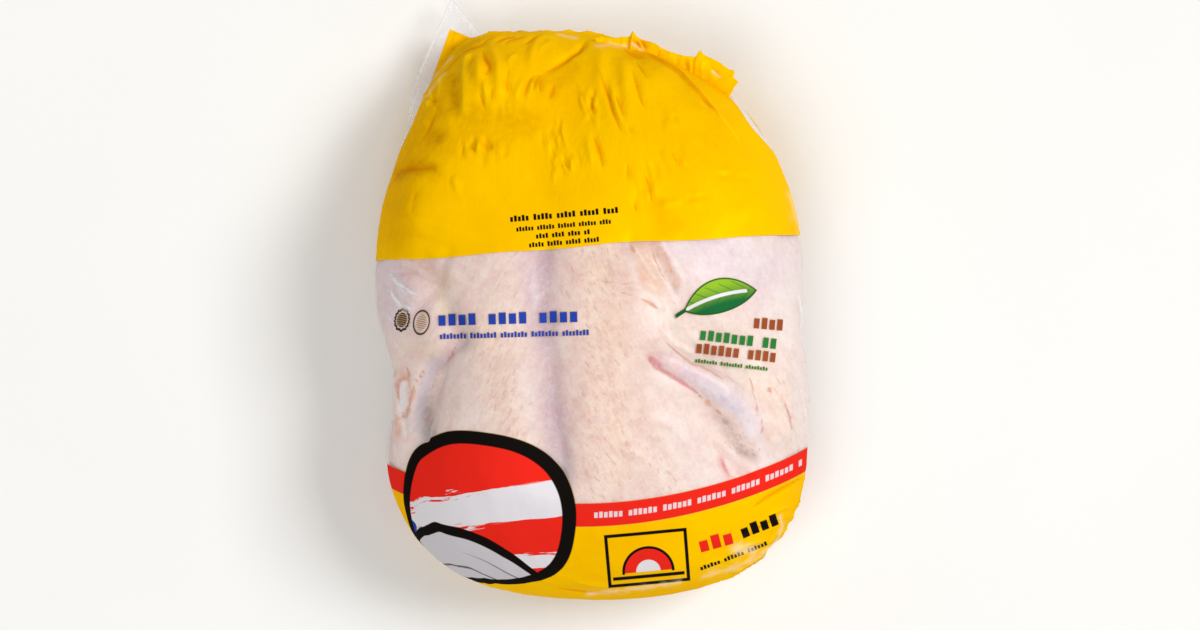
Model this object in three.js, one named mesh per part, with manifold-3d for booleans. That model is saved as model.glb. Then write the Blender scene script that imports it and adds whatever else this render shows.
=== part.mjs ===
// A whole raw chicken, breast up, sealed in a clear poultry bag that clings to it.
// Units are millimetres. +Y runs from the neck end to the tail end, +X to the bird's right wing side,
// +Z up through the breast. The pack lies on its flattened back, and the origin is at the centre of
// the underside of its box.

import * as THREE from "three";
import { mergeVertices } from "three/addons/utils/BufferGeometryUtils.js";
import Module from "manifold-3d";

// Driving sizes of the closed pack.
const NECK_Y = -132.6; // the neck end, where the bag's sealed bottom is drawn tight
const TAIL_Y = 120; // the tail end, where the bag gathers over the hocks
const CROWN_Y = -40; // the highest station of the breast
const CROWN_HEIGHT = 106;
const SHOULDER_Y = -45; // the sides are parallel from here ...
const HIP_Y = 0; // ... to here
const HALF_WIDTH = 94;
const MID_HEIGHT = 44; // the level of the widest outline
const BACK_DEPTH = 49; // how far the rounded back would reach below that level if nothing pressed on it
const WAIST = { y: -38, depth: 5.5, reach: 22 }; // the dip between thigh and wing on the -X side
const TAIL_SHIFT = -24; // how far the gathered tail end sits off the centre line
const HIP_SHIFT = -2;
const SHOULDER_SHIFT = 1.6;
const TAIL_DROP = 10; // how much lower the outline's level is at the tail end
const NECK_DROP = 5;

// Exponents of the superellipses that round the pack off.
const NECK_BLUNTNESS = 2.8;
const TAIL_BLUNTNESS = 2.3;
const CROWN_BLUNTNESS = { neck: 2.3, tail: 2.1 };
const BACK_BLUNTNESS = 2.2;
const SECTION_BLUNTNESS = { upper: 2.02, lower: 2.2 };
const BACK_RISE = { neckFrom: -70, tailFrom: 66 }; // the back curves up off the floor past these stations

// The film pleats round the tail end.
const PLEATS = { count: 14, depth: 1.6, from: 62 };

// The sheets of loose film, which are fused to the pack.
const FILM = 1.2;

const SEGMENTS_ROUND = 76;
const SEGMENTS_ALONG = 54;

// The bird's forms that show through the film: ridges where height is positive, grooves where it is
// negative. Each follows a line across the breast side from one [x, y] to another, or round the flank
// where a z is given, and fades over its reach.
const FORMS = [
  { name: "breast, -X side", from: [-43, 8], to: [-46, -70], reach: 30, height: 4 },
  { name: "breast, +X side", from: [16, 8], to: [12, -78], reach: 31, height: 4 },
  { name: "keel groove", from: [-21, 30], to: [-15, -74], reach: 9, height: -3.6 },
  { name: "thigh, +X side", from: [62, 10], to: [66, 26], reach: 27, height: 4.5 },
  { name: "thigh crease, +X side", from: [18, 26], to: [48, -16], reach: 7, height: -3.6 },
  { name: "wing tip, +X side", from: [31, -27], to: [52, -38], reach: 8, height: 4 },
  { name: "wing hand, +X side", from: [56, -42], to: [76, -56], reach: 12, height: 4.5 },
  { name: "wing forearm, +X side", from: [80, -54], to: [84, -20], reach: 13, height: 3 },
  { name: "crease above the wing, +X side", from: [40, -12], to: [68, -26], reach: 7, height: -2.4 },
  { name: "crease below the wing, +X side", from: [46, -50], to: [70, -73], reach: 7, height: -4.2 },
  { name: "shoulder, +X side", from: [62, -88], to: [78, -84], reach: 17, height: 3 },
  { name: "thigh, -X side", from: [-76, 8], to: [-74, 26], reach: 25, height: 3.5 },
  { name: "thigh crease, -X side", from: [-70, 14], to: [-58, -16], reach: 7, height: -3 },
  { name: "wing crease, -X side", from: [-59, -18], to: [-71, -33], reach: 7, height: -3.6 },
  { name: "wing crease at the shoulder, -X side", from: [-71, -33], to: [-75, -60], reach: 8, height: -5 },
  { name: "wing forearm, -X side", from: [-85, -28], to: [-84, -66], reach: 8, height: 3 },
  { name: "drumstick, +X side", from: [64, 44], to: [26, 94], reach: 17, height: 5.5 },
  { name: "drumstick, -X side", from: [-72, 40], to: [-46, 94], reach: 17, height: 5.5 },
  { name: "hollow over the cavity", from: [-22, 60], to: [-12, 92], reach: 20, height: -5.5 },
  { name: "drumette, +X side", from: [86, -78, 22], to: [88, -18, 18], reach: 13, height: 4.5 },
  { name: "drumette, -X side", from: [-84, -78, 22], to: [-84, -22, 18], reach: 13, height: 4.5 },
  { name: "thigh's end, +X side", from: [88, 14, 26], to: [84, 40, 22], reach: 17, height: 3.5 },
  { name: "thigh's end, -X side", from: [-90, 14, 26], to: [-86, 40, 22], reach: 17, height: 3 },
  { name: "neck stump", from: [2, -116, 34], to: [2, -130, 34], reach: 18, height: 1.2 },
];

// How far a superellipse quarter still reaches at a share of its length.
function quarter(share, bluntness) {
  return Math.pow(Math.max(0, 1 - Math.pow(share, bluntness)), 1 / bluntness);
}

function smoothstep(from, to, value) {
  return THREE.MathUtils.smoothstep(value, from, to);
}

function tailShare(y) {
  return THREE.MathUtils.clamp((y - HIP_Y) / (TAIL_Y - HIP_Y), 0, 1);
}

function neckShare(y) {
  return THREE.MathUtils.clamp((SHOULDER_Y - y) / (SHOULDER_Y - NECK_Y), 0, 1);
}

// The line down the middle of the pack, which leans to the -X side at the gathered tail end.
function centreLine(y) {
  const hip = THREE.MathUtils.lerp(HIP_SHIFT, SHOULDER_SHIFT, smoothstep(-HIP_Y, -SHOULDER_Y, -y));
  return hip + TAIL_SHIFT * Math.pow(tailShare(y), 6);
}

function halfWidth(y, side) {
  const full = HALF_WIDTH * quarter(neckShare(y), NECK_BLUNTNESS) * quarter(tailShare(y), TAIL_BLUNTNESS);
  const waist = side < 0 ? WAIST.depth * Math.exp(-Math.pow((y - WAIST.y) / WAIST.reach, 2)) : 0;
  return Math.max(0, full - waist);
}

function outlineLevel(y) {
  return MID_HEIGHT - TAIL_DROP * Math.pow(tailShare(y), 3) - NECK_DROP * Math.pow(neckShare(y), 3);
}

function crownRise(y) {
  const share = y < CROWN_Y ? (CROWN_Y - y) / (CROWN_Y - NECK_Y) : (y - CROWN_Y) / (TAIL_Y - CROWN_Y);
  const bluntness = y < CROWN_Y ? CROWN_BLUNTNESS.neck : CROWN_BLUNTNESS.tail;
  return (CROWN_HEIGHT - MID_HEIGHT) * quarter(share, bluntness);
}

function backFall(y) {
  const neck = Math.max(0, (BACK_RISE.neckFrom - y) / (BACK_RISE.neckFrom - NECK_Y));
  const tail = Math.max(0, (y - BACK_RISE.tailFrom) / (TAIL_Y - BACK_RISE.tailFrom));
  return BACK_DEPTH * quarter(neck, BACK_BLUNTNESS) * quarter(tail, BACK_BLUNTNESS);
}

// The plain pack, before the bird's forms: a point of the section at y, at an angle round the centre line.
function plainPoint(y, angle) {
  const across = Math.cos(angle);
  const up = Math.sin(angle);
  const bluntness = up < 0 ? SECTION_BLUNTNESS.lower : SECTION_BLUNTNESS.upper;
  const rise = up < 0 ? backFall(y) : crownRise(y);
  const norm = Math.pow(Math.abs(across), bluntness) + Math.pow(Math.abs(up), bluntness);
  const scale = Math.pow(norm, -1 / bluntness);
  return new THREE.Vector3(
    centreLine(y) + halfWidth(y, across) * across * scale,
    y,
    outlineLevel(y) + rise * up * scale,
  );
}

// The plain pack's breast side straight above a place on the floor.
function onBreastSide(x, y) {
  const offset = x - centreLine(y);
  const share = Math.min(1, Math.abs(offset) / halfWidth(y, offset));
  return new THREE.Vector3(x, y, outlineLevel(y) + crownRise(y) * quarter(share, SECTION_BLUNTNESS.upper));
}

function formLine(form) {
  const [from, to] = [form.from, form.to].map(([x, y, z]) =>
    z === undefined ? onBreastSide(x, y) : new THREE.Vector3(x, y, z),
  );
  return { line: new THREE.Line3(from, to), reach: form.reach, height: form.height };
}

const FORM_LINES = FORMS.map(formLine);

// How far the bird's forms push the film out at a point of the plain pack.
function relief(point) {
  const nearest = new THREE.Vector3();
  let sum = 0;
  for (const { line, reach, height } of FORM_LINES) {
    line.closestPointToPoint(point, true, nearest);
    sum += height * Math.exp(-nearest.distanceToSquared(point) / (reach * reach));
  }
  return sum;
}

function pleat(y, angle) {
  const depth = PLEATS.depth * smoothstep(PLEATS.from, TAIL_Y, y) * (1 - smoothstep(0.97, 1, tailShare(y)));
  return depth * Math.sin(PLEATS.count * angle + 2 * Math.sin(3 * angle));
}

// The closed pack: a sphere's grid with its poles at the neck and tail ends, each vertex sent to the pack.
function packGeometry() {
  const geometry = new THREE.SphereGeometry(1, SEGMENTS_ROUND, SEGMENTS_ALONG);
  const position = geometry.getAttribute("position");
  const direction = new THREE.Vector3();
  for (let i = 0; i < position.count; i++) {
    direction.fromBufferAttribute(position, i);
    const y = THREE.MathUtils.mapLinear(direction.y, -1, 1, NECK_Y, TAIL_Y);
    const angle = Math.atan2(direction.z, direction.x);
    const atPole = Math.abs(direction.y) > 1 - 1e-9;
    const point = atPole ? new THREE.Vector3(centreLine(y), y, outlineLevel(y)) : plainPoint(y, angle);
    const core = new THREE.Vector3(centreLine(y), THREE.MathUtils.clamp(y, -70, 60), outlineLevel(y));
    const outward = point.clone().sub(core).normalize();
    const push = relief(point) + (atPole ? 0 : pleat(y, angle));
    point.addScaledVector(outward, push);
    point.z = Math.max(0, point.z);
    position.setXYZ(i, point.x, point.y, point.z);
  }
  return geometry;
}

// A sheet of film between an inner and an outer edge, each a smooth curve through a few points. It
// waves up and down towards its outer edge. Both faces are split into triangles alike.
function sheetGeometry({ inner, outer, columns, rows, waves, waveHeight }) {
  const [innerEdge, outerEdge] = [inner, outer].map(
    (edge) => new THREE.CatmullRomCurve3(edge.map((place) => new THREE.Vector3(...place)), false, "centripetal"),
  );
  const positions = [];
  const layer = (columns + 1) * (rows + 1);
  for (const side of [1, -1]) {
    for (let row = 0; row <= rows; row++) {
      for (let column = 0; column <= columns; column++) {
        const along = column / columns;
        const out = row / rows;
        const point = innerEdge.getPoint(along).lerp(outerEdge.getPoint(along), out);
        point.z += (side * FILM) / 2 + waveHeight * out * Math.sin(waves * Math.PI * along + 1.5 * out);
        positions.push(point.x, point.y, point.z);
      }
    }
  }
  const at = (side, row, column) => side * layer + row * (columns + 1) + column;
  const index = [];
  const quad = (a, b, c, d) => index.push(a, c, b, a, d, c);
  for (let row = 0; row < rows; row++) {
    for (let column = 0; column < columns; column++) {
      const corners = [[row, column], [row, column + 1], [row + 1, column + 1], [row + 1, column]];
      const [a, b, c, d] = corners.map(([r, q]) => at(0, r, q));
      const [e, f, g, h] = corners.map(([r, q]) => at(1, r, q));
      index.push(a, b, c, a, c, d);
      index.push(e, g, f, e, h, g);
    }
  }
  for (let column = 0; column < columns; column++) {
    quad(at(0, 0, column), at(0, 0, column + 1), at(1, 0, column + 1), at(1, 0, column));
    quad(at(0, rows, column + 1), at(0, rows, column), at(1, rows, column), at(1, rows, column + 1));
  }
  for (let row = 0; row < rows; row++) {
    quad(at(0, row + 1, 0), at(0, row, 0), at(1, row, 0), at(1, row + 1, 0));
    quad(at(0, row, columns), at(0, row + 1, columns), at(1, row + 1, columns), at(1, row, columns));
  }
  const geometry = new THREE.BufferGeometry();
  geometry.setAttribute("position", new THREE.Float32BufferAttribute(positions, 3));
  geometry.setIndex(index);
  return geometry;
}

// The flat corner of the bag's folded end, which sticks out past the tail at the -X side.
function tailCornerGeometry() {
  return sheetGeometry({
    inner: [[-72, 56, 36], [-58, 82, 34], [-34, 98, 28]],
    outer: [[-83, 72, 30], [-81, 95, 24], [-64, 136.6, 15]],
    columns: 18,
    rows: 7,
    waves: 5,
    waveHeight: 1.6,
  });
}

// The ear of spare film at the +X side of the tail end.
function tailEarGeometry() {
  return sheetGeometry({
    inner: [[4, 98, 50], [20, 90, 50], [38, 80, 48], [48, 66, 46]],
    outer: [[13, 120, 52], [36, 113, 50], [49, 111, 48], [63, 101, 46], [66, 86, 46]],
    columns: 18,
    rows: 5,
    waves: 5,
    waveHeight: 1.2,
  });
}

const wasm = await Module();
wasm.setup();

function solidOf(geometry) {
  geometry.deleteAttribute("normal");
  geometry.deleteAttribute("uv");
  const merged = mergeVertices(geometry, 1e-4);
  return new wasm.Manifold(
    new wasm.Mesh({
      numProp: 3,
      vertProperties: merged.getAttribute("position").array,
      triVerts: new Uint32Array(merged.index.array),
    }),
  );
}

function geometryOf(solid) {
  const { vertProperties, triVerts } = solid.getMesh();
  const geometry = new THREE.BufferGeometry();
  geometry.setAttribute("position", new THREE.BufferAttribute(vertProperties, 3));
  geometry.setIndex(new THREE.BufferAttribute(triVerts, 1));
  return geometry;
}

// Sets the origin at the centre of the underside of the geometry's box.
function restOnFloor(geometry) {
  geometry.computeBoundingBox();
  const { min, max } = geometry.boundingBox;
  return geometry.translate(-(min.x + max.x) / 2, -(min.y + max.y) / 2, -min.z);
}

function baggedChicken() {
  const solid = solidOf(packGeometry()).add(solidOf(tailCornerGeometry())).add(solidOf(tailEarGeometry()));
  const geometry = restOnFloor(geometryOf(solid));
  geometry.computeVertexNormals();
  const film = new THREE.MeshStandardMaterial({ color: 0xf6c21c, roughness: 0.35, metalness: 0 });
  const mesh = new THREE.Mesh(geometry, film);
  mesh.name = "bagged_chicken";
  return mesh;
}

const pack = new THREE.Group();
pack.add(baggedChicken());

export default pack;
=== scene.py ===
"""A whole raw chicken, breast up, in a printed poultry bag: the film, its loose corner and ear, and the bird.

Shapes are worked out in millimetres on the pack's own axes and set in the frame in metres. +Y runs from the
neck end to the tail end, +X to the bird's right wing, +Z up through the breast.
"""

from __future__ import annotations

import logging
import math
from dataclasses import dataclass, field
from enum import Enum
from functools import partial, reduce
from typing import Any, Callable, Iterable, Mapping, Sequence

import bpy
import numpy as np
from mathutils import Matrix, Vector

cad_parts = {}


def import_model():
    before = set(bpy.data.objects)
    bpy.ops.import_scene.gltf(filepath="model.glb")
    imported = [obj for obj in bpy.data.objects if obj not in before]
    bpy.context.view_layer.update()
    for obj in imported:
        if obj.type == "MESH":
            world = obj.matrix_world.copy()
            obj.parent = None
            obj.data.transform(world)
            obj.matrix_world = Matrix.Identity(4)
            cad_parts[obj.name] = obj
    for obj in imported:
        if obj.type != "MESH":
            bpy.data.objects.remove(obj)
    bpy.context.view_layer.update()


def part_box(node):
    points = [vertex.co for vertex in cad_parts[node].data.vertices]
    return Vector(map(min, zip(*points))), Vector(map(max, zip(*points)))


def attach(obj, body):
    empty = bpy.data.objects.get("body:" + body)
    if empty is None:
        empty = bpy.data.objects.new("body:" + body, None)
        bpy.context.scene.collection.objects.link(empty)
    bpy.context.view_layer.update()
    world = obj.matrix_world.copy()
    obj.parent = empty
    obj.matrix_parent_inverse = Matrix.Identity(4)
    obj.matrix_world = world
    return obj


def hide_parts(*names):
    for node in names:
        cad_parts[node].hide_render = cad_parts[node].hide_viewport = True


LOG = logging.getLogger("bagged_chicken")
NODE = "bagged_chicken"
BODY = "root"
MM = 0.001

Array = np.ndarray
Place = tuple[float, ...]
Line = tuple[Place, ...]
Colour = tuple[float, float, float, float]


def colour(code: str) -> Colour:
    """Turn a screen colour such as "#fbc501" into the linear colour that shaders use.

    Args:
        code: the colour as a hash and six hexadecimal digits.

    Returns:
        Red, green, blue and an alpha of 1.
    """
    parts = [int(code[i : i + 2], 16) / 255 for i in (1, 3, 5)]
    red, green, blue = (c / 12.92 if c <= 0.04045 else ((c + 0.055) / 1.055) ** 2.4 for c in parts)
    return (red, green, blue, 1.0)


def smoothstep(low: float, high: float, value: Array) -> Array:
    """Rise smoothly from 0 at low to 1 at high."""
    share = np.clip((value - low) / (high - low), 0.0, 1.0)
    return share * share * (3.0 - 2.0 * share)


def quarter(share: Array, bluntness: float) -> Array:
    """How far a superellipse quarter still reaches at a share of its length."""
    return np.maximum(0.0, 1.0 - np.clip(share, 0.0, 1.0) ** bluntness) ** (1.0 / bluntness)


def distance_to_path(points: Array, path: Sequence[Place]) -> tuple[Array, Array]:
    """Measure how far points lie from a chain of straight stretches.

    Args:
        points: the points, one a row.
        path: the corners of the chain, in as many dimensions as the points.

    Returns:
        The distance of each point, and its share of the way along the chain.
    """
    corners = np.array(path, float)
    lengths = np.linalg.norm(np.diff(corners, axis=0), axis=1)
    passed = np.concatenate([[0.0], np.cumsum(lengths)])
    best = np.full(len(points), np.inf)
    share = np.zeros(len(points))
    for index, length in enumerate(lengths):
        step = corners[index + 1] - corners[index]
        along = np.clip((points - corners[index]) @ step / (length * length), 0.0, 1.0)
        away = np.linalg.norm(points - corners[index] - along[:, None] * step, axis=1)
        nearer = away < best
        best = np.where(nearer, away, best)
        share = np.where(nearer, (passed[index] + along * length) / passed[-1], share)
    return best, share


def smooth_curve(places: Sequence[Place], share: Array) -> Array:
    """Points of a smooth curve through some places.

    Args:
        places: the places it passes.
        share: how far along, from 0 to 1, by the places' spacing.

    Returns:
        One point a row.
    """
    knots = np.array(places, float)
    knots = np.vstack([2 * knots[0] - knots[1], knots, 2 * knots[-1] - knots[-2]])
    where = np.clip(share, 0.0, 1.0) * (len(places) - 1)
    first = np.minimum(where.astype(int), len(places) - 2)
    t = (where - first)[:, None]
    a, b, c, d = (knots[first + i] for i in range(4))
    return 0.5 * (2 * b + (c - a) * t + (2 * a - 5 * b + 4 * c - d) * t**2 + (3 * b - a - 3 * c + d) * t**3)


def trace(text: str) -> Line:
    """Read places written as "x,y x,y"."""
    return tuple(tuple(float(part) for part in place.split(",")) for place in text.split())


def each(make: Callable[..., Any], *rows: Sequence[Any]) -> tuple[Any, ...]:
    """Make an item of each row, which holds a path as text and then the item's other values in order."""
    return tuple(make(trace(path), *rest) for path, *rest in rows)


class GradientNoise:
    """Smooth seeded noise in space, from about -1 to 1."""

    def __init__(self, seed: int) -> None:
        """Draw the lattice's gradients.

        Args:
            seed: the seed of the draw.
        """
        random = np.random.default_rng(seed)
        gradients = random.normal(size=(256, 3))
        self.gradients = gradients / np.linalg.norm(gradients, axis=1)[:, None]
        self.order = np.tile(random.permutation(256), 3)

    def __call__(self, points: Array) -> Array:
        """Read the noise.

        Args:
            points: where, in units of the lattice's spacing.

        Returns:
            One value for each point.
        """
        cell = np.floor(points).astype(int)
        inside = points - cell
        fade = inside**3 * (inside * (inside * 6.0 - 15.0) + 10.0)
        total = np.zeros(len(points))
        for corner in np.ndindex(2, 2, 2):
            offset = np.array(corner)
            key = (cell + offset) & 255
            pick = self.order[self.order[self.order[key[:, 0]] + key[:, 1]] + key[:, 2]]
            weight = np.prod(np.where(offset == 1, fade, 1.0 - fade), axis=1)
            total += weight * np.einsum("ij,ij->i", self.gradients[pick], inside - offset)
        return total * 1.6

    def ridged(self, points: Array) -> Array:
        """Read the noise as creases: 1 along thin lines, falling off to 0."""
        return np.clip(1.0 - 3.2 * np.abs(self(points)), 0.0, 1.0) ** 2


# ---- the shape


@dataclass(frozen=True)
class PackShape:
    """The closed pack without the bird's forms, as a superellipse section swept along Y. Millimetres."""

    neck_y: float = -132.6
    tail_y: float = 120.0
    crown_y: float = -40.0
    crown_height: float = 106.0
    shoulder_y: float = -45.0
    hip_y: float = 0.0
    half_width: float = 94.0
    mid_height: float = 44.0
    back_depth: float = 49.0
    waist: Place = (-38.0, 5.5, 22.0)
    tail_shift: float = -24.0
    hip_shift: float = -2.0
    shoulder_shift: float = 3.6  # from the hips' middle to the shoulders'
    tail_drop: float = 10.0
    neck_drop: float = 5.0
    end_bluntness: Place = (2.8, 2.3)  # of the outline at the neck end and at the tail end
    crown_bluntness: Place = (2.3, 2.1)
    back_bluntness: Place = (2.2, 2.2)
    section_bluntness: Place = (2.2, 2.02)
    back_rise: Place = (-70.0, 66.0)
    corner_tip_y: float = 136.6

    def tail_share(self, y: Array) -> Array:
        """How far along from the hips to the tail end."""
        return np.clip((y - self.hip_y) / (self.tail_y - self.hip_y), 0.0, 1.0)

    def neck_share(self, y: Array) -> Array:
        """How far along from the shoulders to the neck end."""
        return np.clip((self.shoulder_y - y) / (self.shoulder_y - self.neck_y), 0.0, 1.0)

    def arch(self, y: Array, middle: Place, bluntness: Place) -> Array:
        """Rise from 0 at the neck end to 1 over a middle stretch, and fall to 0 at the tail end.

        Args:
            y: the stations.
            middle: where the stretch starts and ends.
            bluntness: how blunt the two ends are.

        Returns:
            The height of the arch at each station.
        """
        (neck_from, tail_from), (neck, tail) = middle, bluntness
        rise = quarter((neck_from - y) / (neck_from - self.neck_y), neck)
        return rise * quarter((y - tail_from) / (self.tail_y - tail_from), tail)

    def centre_line(self, y: Array) -> Array:
        """The x of the line down the middle, which leans to the -X side at the tail."""
        lean = smoothstep(-self.hip_y, -self.shoulder_y, -np.asarray(y, float)) * self.shoulder_shift
        return self.hip_shift + lean + self.tail_shift * self.tail_share(y) ** 6

    def reach(self, y: Array, side: Array) -> Array:
        """Measure half the width.

        Args:
            y: the stations.
            side: a number below zero for the -X side, which has the waist, and above zero for the other.

        Returns:
            The distance from the middle line to the widest outline.
        """
        full = self.half_width * self.arch(y, (self.shoulder_y, self.hip_y), self.end_bluntness)
        middle, depth, spread = self.waist
        waist = np.where(side < 0, depth * np.exp(-(((y - middle) / spread) ** 2)), 0.0)
        return np.maximum(0.0, full - waist)

    def level(self, y: Array) -> Array:
        """The height of the widest outline."""
        drop = self.tail_drop * self.tail_share(y) ** 3 + self.neck_drop * self.neck_share(y) ** 3
        return self.mid_height - drop

    def crown(self, y: Array) -> Array:
        """How far the breast side rises above the widest outline."""
        return (self.crown_height - self.mid_height) * self.arch(y, (self.crown_y,) * 2, self.crown_bluntness)

    def fall(self, y: Array) -> Array:
        """How far the back would fall below the widest outline if nothing pressed on it."""
        return self.back_depth * self.arch(y, self.back_rise, self.back_bluntness)

    def points(self, y: Array, angle: Array) -> Array:
        """Work out points of the surface.

        Args:
            y: the station of each.
            angle: its angle round the middle line, from +X up.

        Returns:
            One point a row.
        """
        across, up = np.cos(angle), np.sin(angle)
        lower, upper = self.section_bluntness
        bluntness = np.where(up < 0, lower, upper)
        rise = np.where(up < 0, self.fall(y), self.crown(y))
        scale = (np.abs(across) ** bluntness + np.abs(up) ** bluntness) ** (-1.0 / bluntness)
        x = self.centre_line(y) + self.reach(y, across) * across * scale
        return np.column_stack([x, y, self.level(y) + rise * up * scale])

    def on_breast(self, x: float, y: float) -> Place:
        """Find the place on the breast side straight above a place on the floor.

        Args:
            x: where it is across.
            y: where it is along.

        Returns:
            The place.
        """
        offset = x - float(self.centre_line(y))
        share = min(1.0, abs(offset) / float(self.reach(y, offset)))
        rise = float(self.crown(y)) * float(quarter(share, self.section_bluntness[1]))
        return (x, y, float(self.level(y)) + rise)

    def core(self, y: Array) -> Array:
        """The place inside that a point of the surface is pushed away from."""
        return np.column_stack([self.centre_line(y), np.clip(y, -70.0, 60.0), self.level(y)])


@dataclass(frozen=True)
class Form:
    """A ridge or groove along a line. A place with no height lies on the breast side. Millimetres."""

    path: Line
    reach: float
    height: float
    edge: float = 2.0  # a larger exponent gives a flatter top and a steeper side

    def push(self, shape: PackShape, points: Array) -> Array:
        """How far the form pushes the surface out at each point of the plain pack."""
        places = [place if len(place) == 3 else shape.on_breast(*place) for place in self.path]
        return self.height * np.exp(-((distance_to_path(points, places)[0] / self.reach) ** self.edge))


# The large forms, which the solid has too.
MAIN_FORMS = each(
    Form,
    ("-43,8 -46,-70", 30, 4),  # breast, -X side
    ("16,8 12,-78", 31, 4),  # breast, +X side
    ("-21,30 -15,-74", 9, -3.6),  # keel groove
    ("62,10 66,26", 27, 4.5),  # thigh, +X side
    ("18,26 48,-16", 7, -3.6),  # crease between breast and thigh, +X side
    ("31,-27 52,-38", 8, 4),  # wing tip, +X side
    ("56,-42 76,-56", 12, 4.5),  # wing hand, +X side
    ("80,-54 84,-20", 13, 3),  # wing forearm, +X side
    ("40,-12 68,-26", 7, -2.4),  # crease above the wing, +X side
    ("46,-50 70,-73", 7, -4.2),  # crease below the wing, +X side
    ("62,-88 78,-84", 17, 3),  # shoulder, +X side
    ("-76,8 -74,26", 25, 3.5),  # thigh, -X side
    ("-70,14 -58,-16", 7, -3),  # crease between breast and thigh, -X side
    ("-59,-18 -71,-33", 7, -3.6),  # crease between breast and wing, -X side
    ("-71,-33 -75,-60", 8, -5),  # the same at the shoulder
    ("-85,-28 -84,-66", 8, 3),  # wing forearm, -X side
    ("64,44 26,94", 17, 5.5),  # drumstick, +X side
    ("-72,40 -46,94", 17, 5.5),  # drumstick, -X side
    ("-22,60 -12,92", 20, -5.5),  # hollow over the cavity
    ("86,-78,22 88,-18,18", 13, 4.5),  # drumette, +X side
    ("-84,-78,22 -84,-22,18", 13, 4.5),  # drumette, -X side
    ("88,14,26 84,40,22", 17, 3.5),  # end of the thigh, +X side
    ("-90,14,26 -86,40,22", 17, 3),  # end of the thigh, -X side
    ("2,-116,34 2,-130,34", 18, 1.2),  # neck stump
)


@dataclass(frozen=True)
class Limb:
    """A steep-sided bar on the breast side, which sinks into the skin at its far end. Millimetres."""

    path: Line
    radii: tuple[float, ...]
    height: float
    slope: float = 2.4
    sinks_from: float = 0.7

    def outside(self, shape: PackShape, points: Array) -> tuple[Array, Array]:
        """Measure how far points lie outside the limb's outline.

        Args:
            shape: the plain pack that the limb lies on.
            points: points of the plain pack.

        Returns:
            The distance, below zero inside the outline, and how much of the limb has sunk there.
        """
        places = [shape.on_breast(*place) for place in self.path]
        away, along = distance_to_path(points, places)
        steps = np.linalg.norm(np.diff(np.array(places), axis=0), axis=1)
        knots = np.concatenate([[0.0], np.cumsum(steps)]) / steps.sum()
        return away - np.interp(along, knots, self.radii), smoothstep(self.sinks_from, 1.0, along)

    def push(self, shape: PackShape, points: Array) -> Array:
        """How far the limb pushes the skin out."""
        outside, sunk = self.outside(shape, points)
        return self.height * (1.0 - sunk) * (1.0 - smoothstep(-self.slope, 0.4 * self.slope, outside))


WING = Limb(
    trace("26.3,-25 29.9,-26.1 36.2,-29.5 44.2,-34.4 53.1,-40.2 64.3,-46.4 75.5,-57.2"),
    (2.0, 3.6, 4.2, 5.2, 6.0, 6.0, 6.0),
    0.8,
)
WING_TENDON = Limb(trace("-83.4,-33 -84.6,-42 -83,-53 -84.6,-62"), (1.8, 2.6, 2.0, 1.6), 1.5, 1.6)

# What the skin adds under the film.
SKIN_FORMS = (WING, WING_TENDON) + each(
    Form,
    ("-22,30 -22,-4 -18,-40 -14,-74", 4, -1),  # keel valley
    ("-60,-18 -68,-28 -73.4,-37.5 -74.7,-47 -73.4,-61", 2.6, -1.8),  # wing crease, -X side
    ("-78,-34 -79.4,-46 -79.8,-62", 1.8, 1.2),  # wing bone beside the crease
    ("27,-31 40,-38 53,-50 62,-66", 2.4, -1.6),  # crease under the hand
    ("34,-20 50,-30 62,-37", 1.6, -0.7),  # crease over the hand
    ("76,-44 86,-58", 2, -1.2),  # fold at the wrist
    ("20,25 23.2,16 25.4,9 27.6,6", 4, 0.9, 4),  # fold of fat between breast and thigh
    ("27.2,25 29.9,18.8 32.8,13.4 36,7.6", 2.7, 0.9, 4),  # second fold of fat
    ("25,3 29,-1.6 28,-12 33,-19 46,-25", 1.4, -0.9),  # wrinkle beside the thigh
    ("1.4,9.8 8.5,6.2 19.2,5.5 28.4,-3.6", 1.3, -0.9),  # wrinkle across the breast's edge
    ("24,-52 34,-56 40,-66 52,-70", 2, 0.8),  # soft wave in the breast skin
    ("14,-66 24,-72 30,-84", 2, 0.7),  # soft wave nearer the neck
    ("-60,22 -66,6 -74,-4", 4, -1.6),  # fold at the thigh, -X side
    ("-86,11 -78,12.2 -67,8.4", 1.4, -1.1),  # wrinkle on the thigh, -X side
    ("-62,-18 -64,-25 -69,-30", 1.8, 1),  # pinched skin above the wing, -X side
    ("56,-68 64,-80", 3.6, 1.6),  # shoulder skin under the wing, +X side
    ("84,-26 92,-40 94,-56", 1.6, -0.8),  # fold along the forearm, +X side
)


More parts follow.
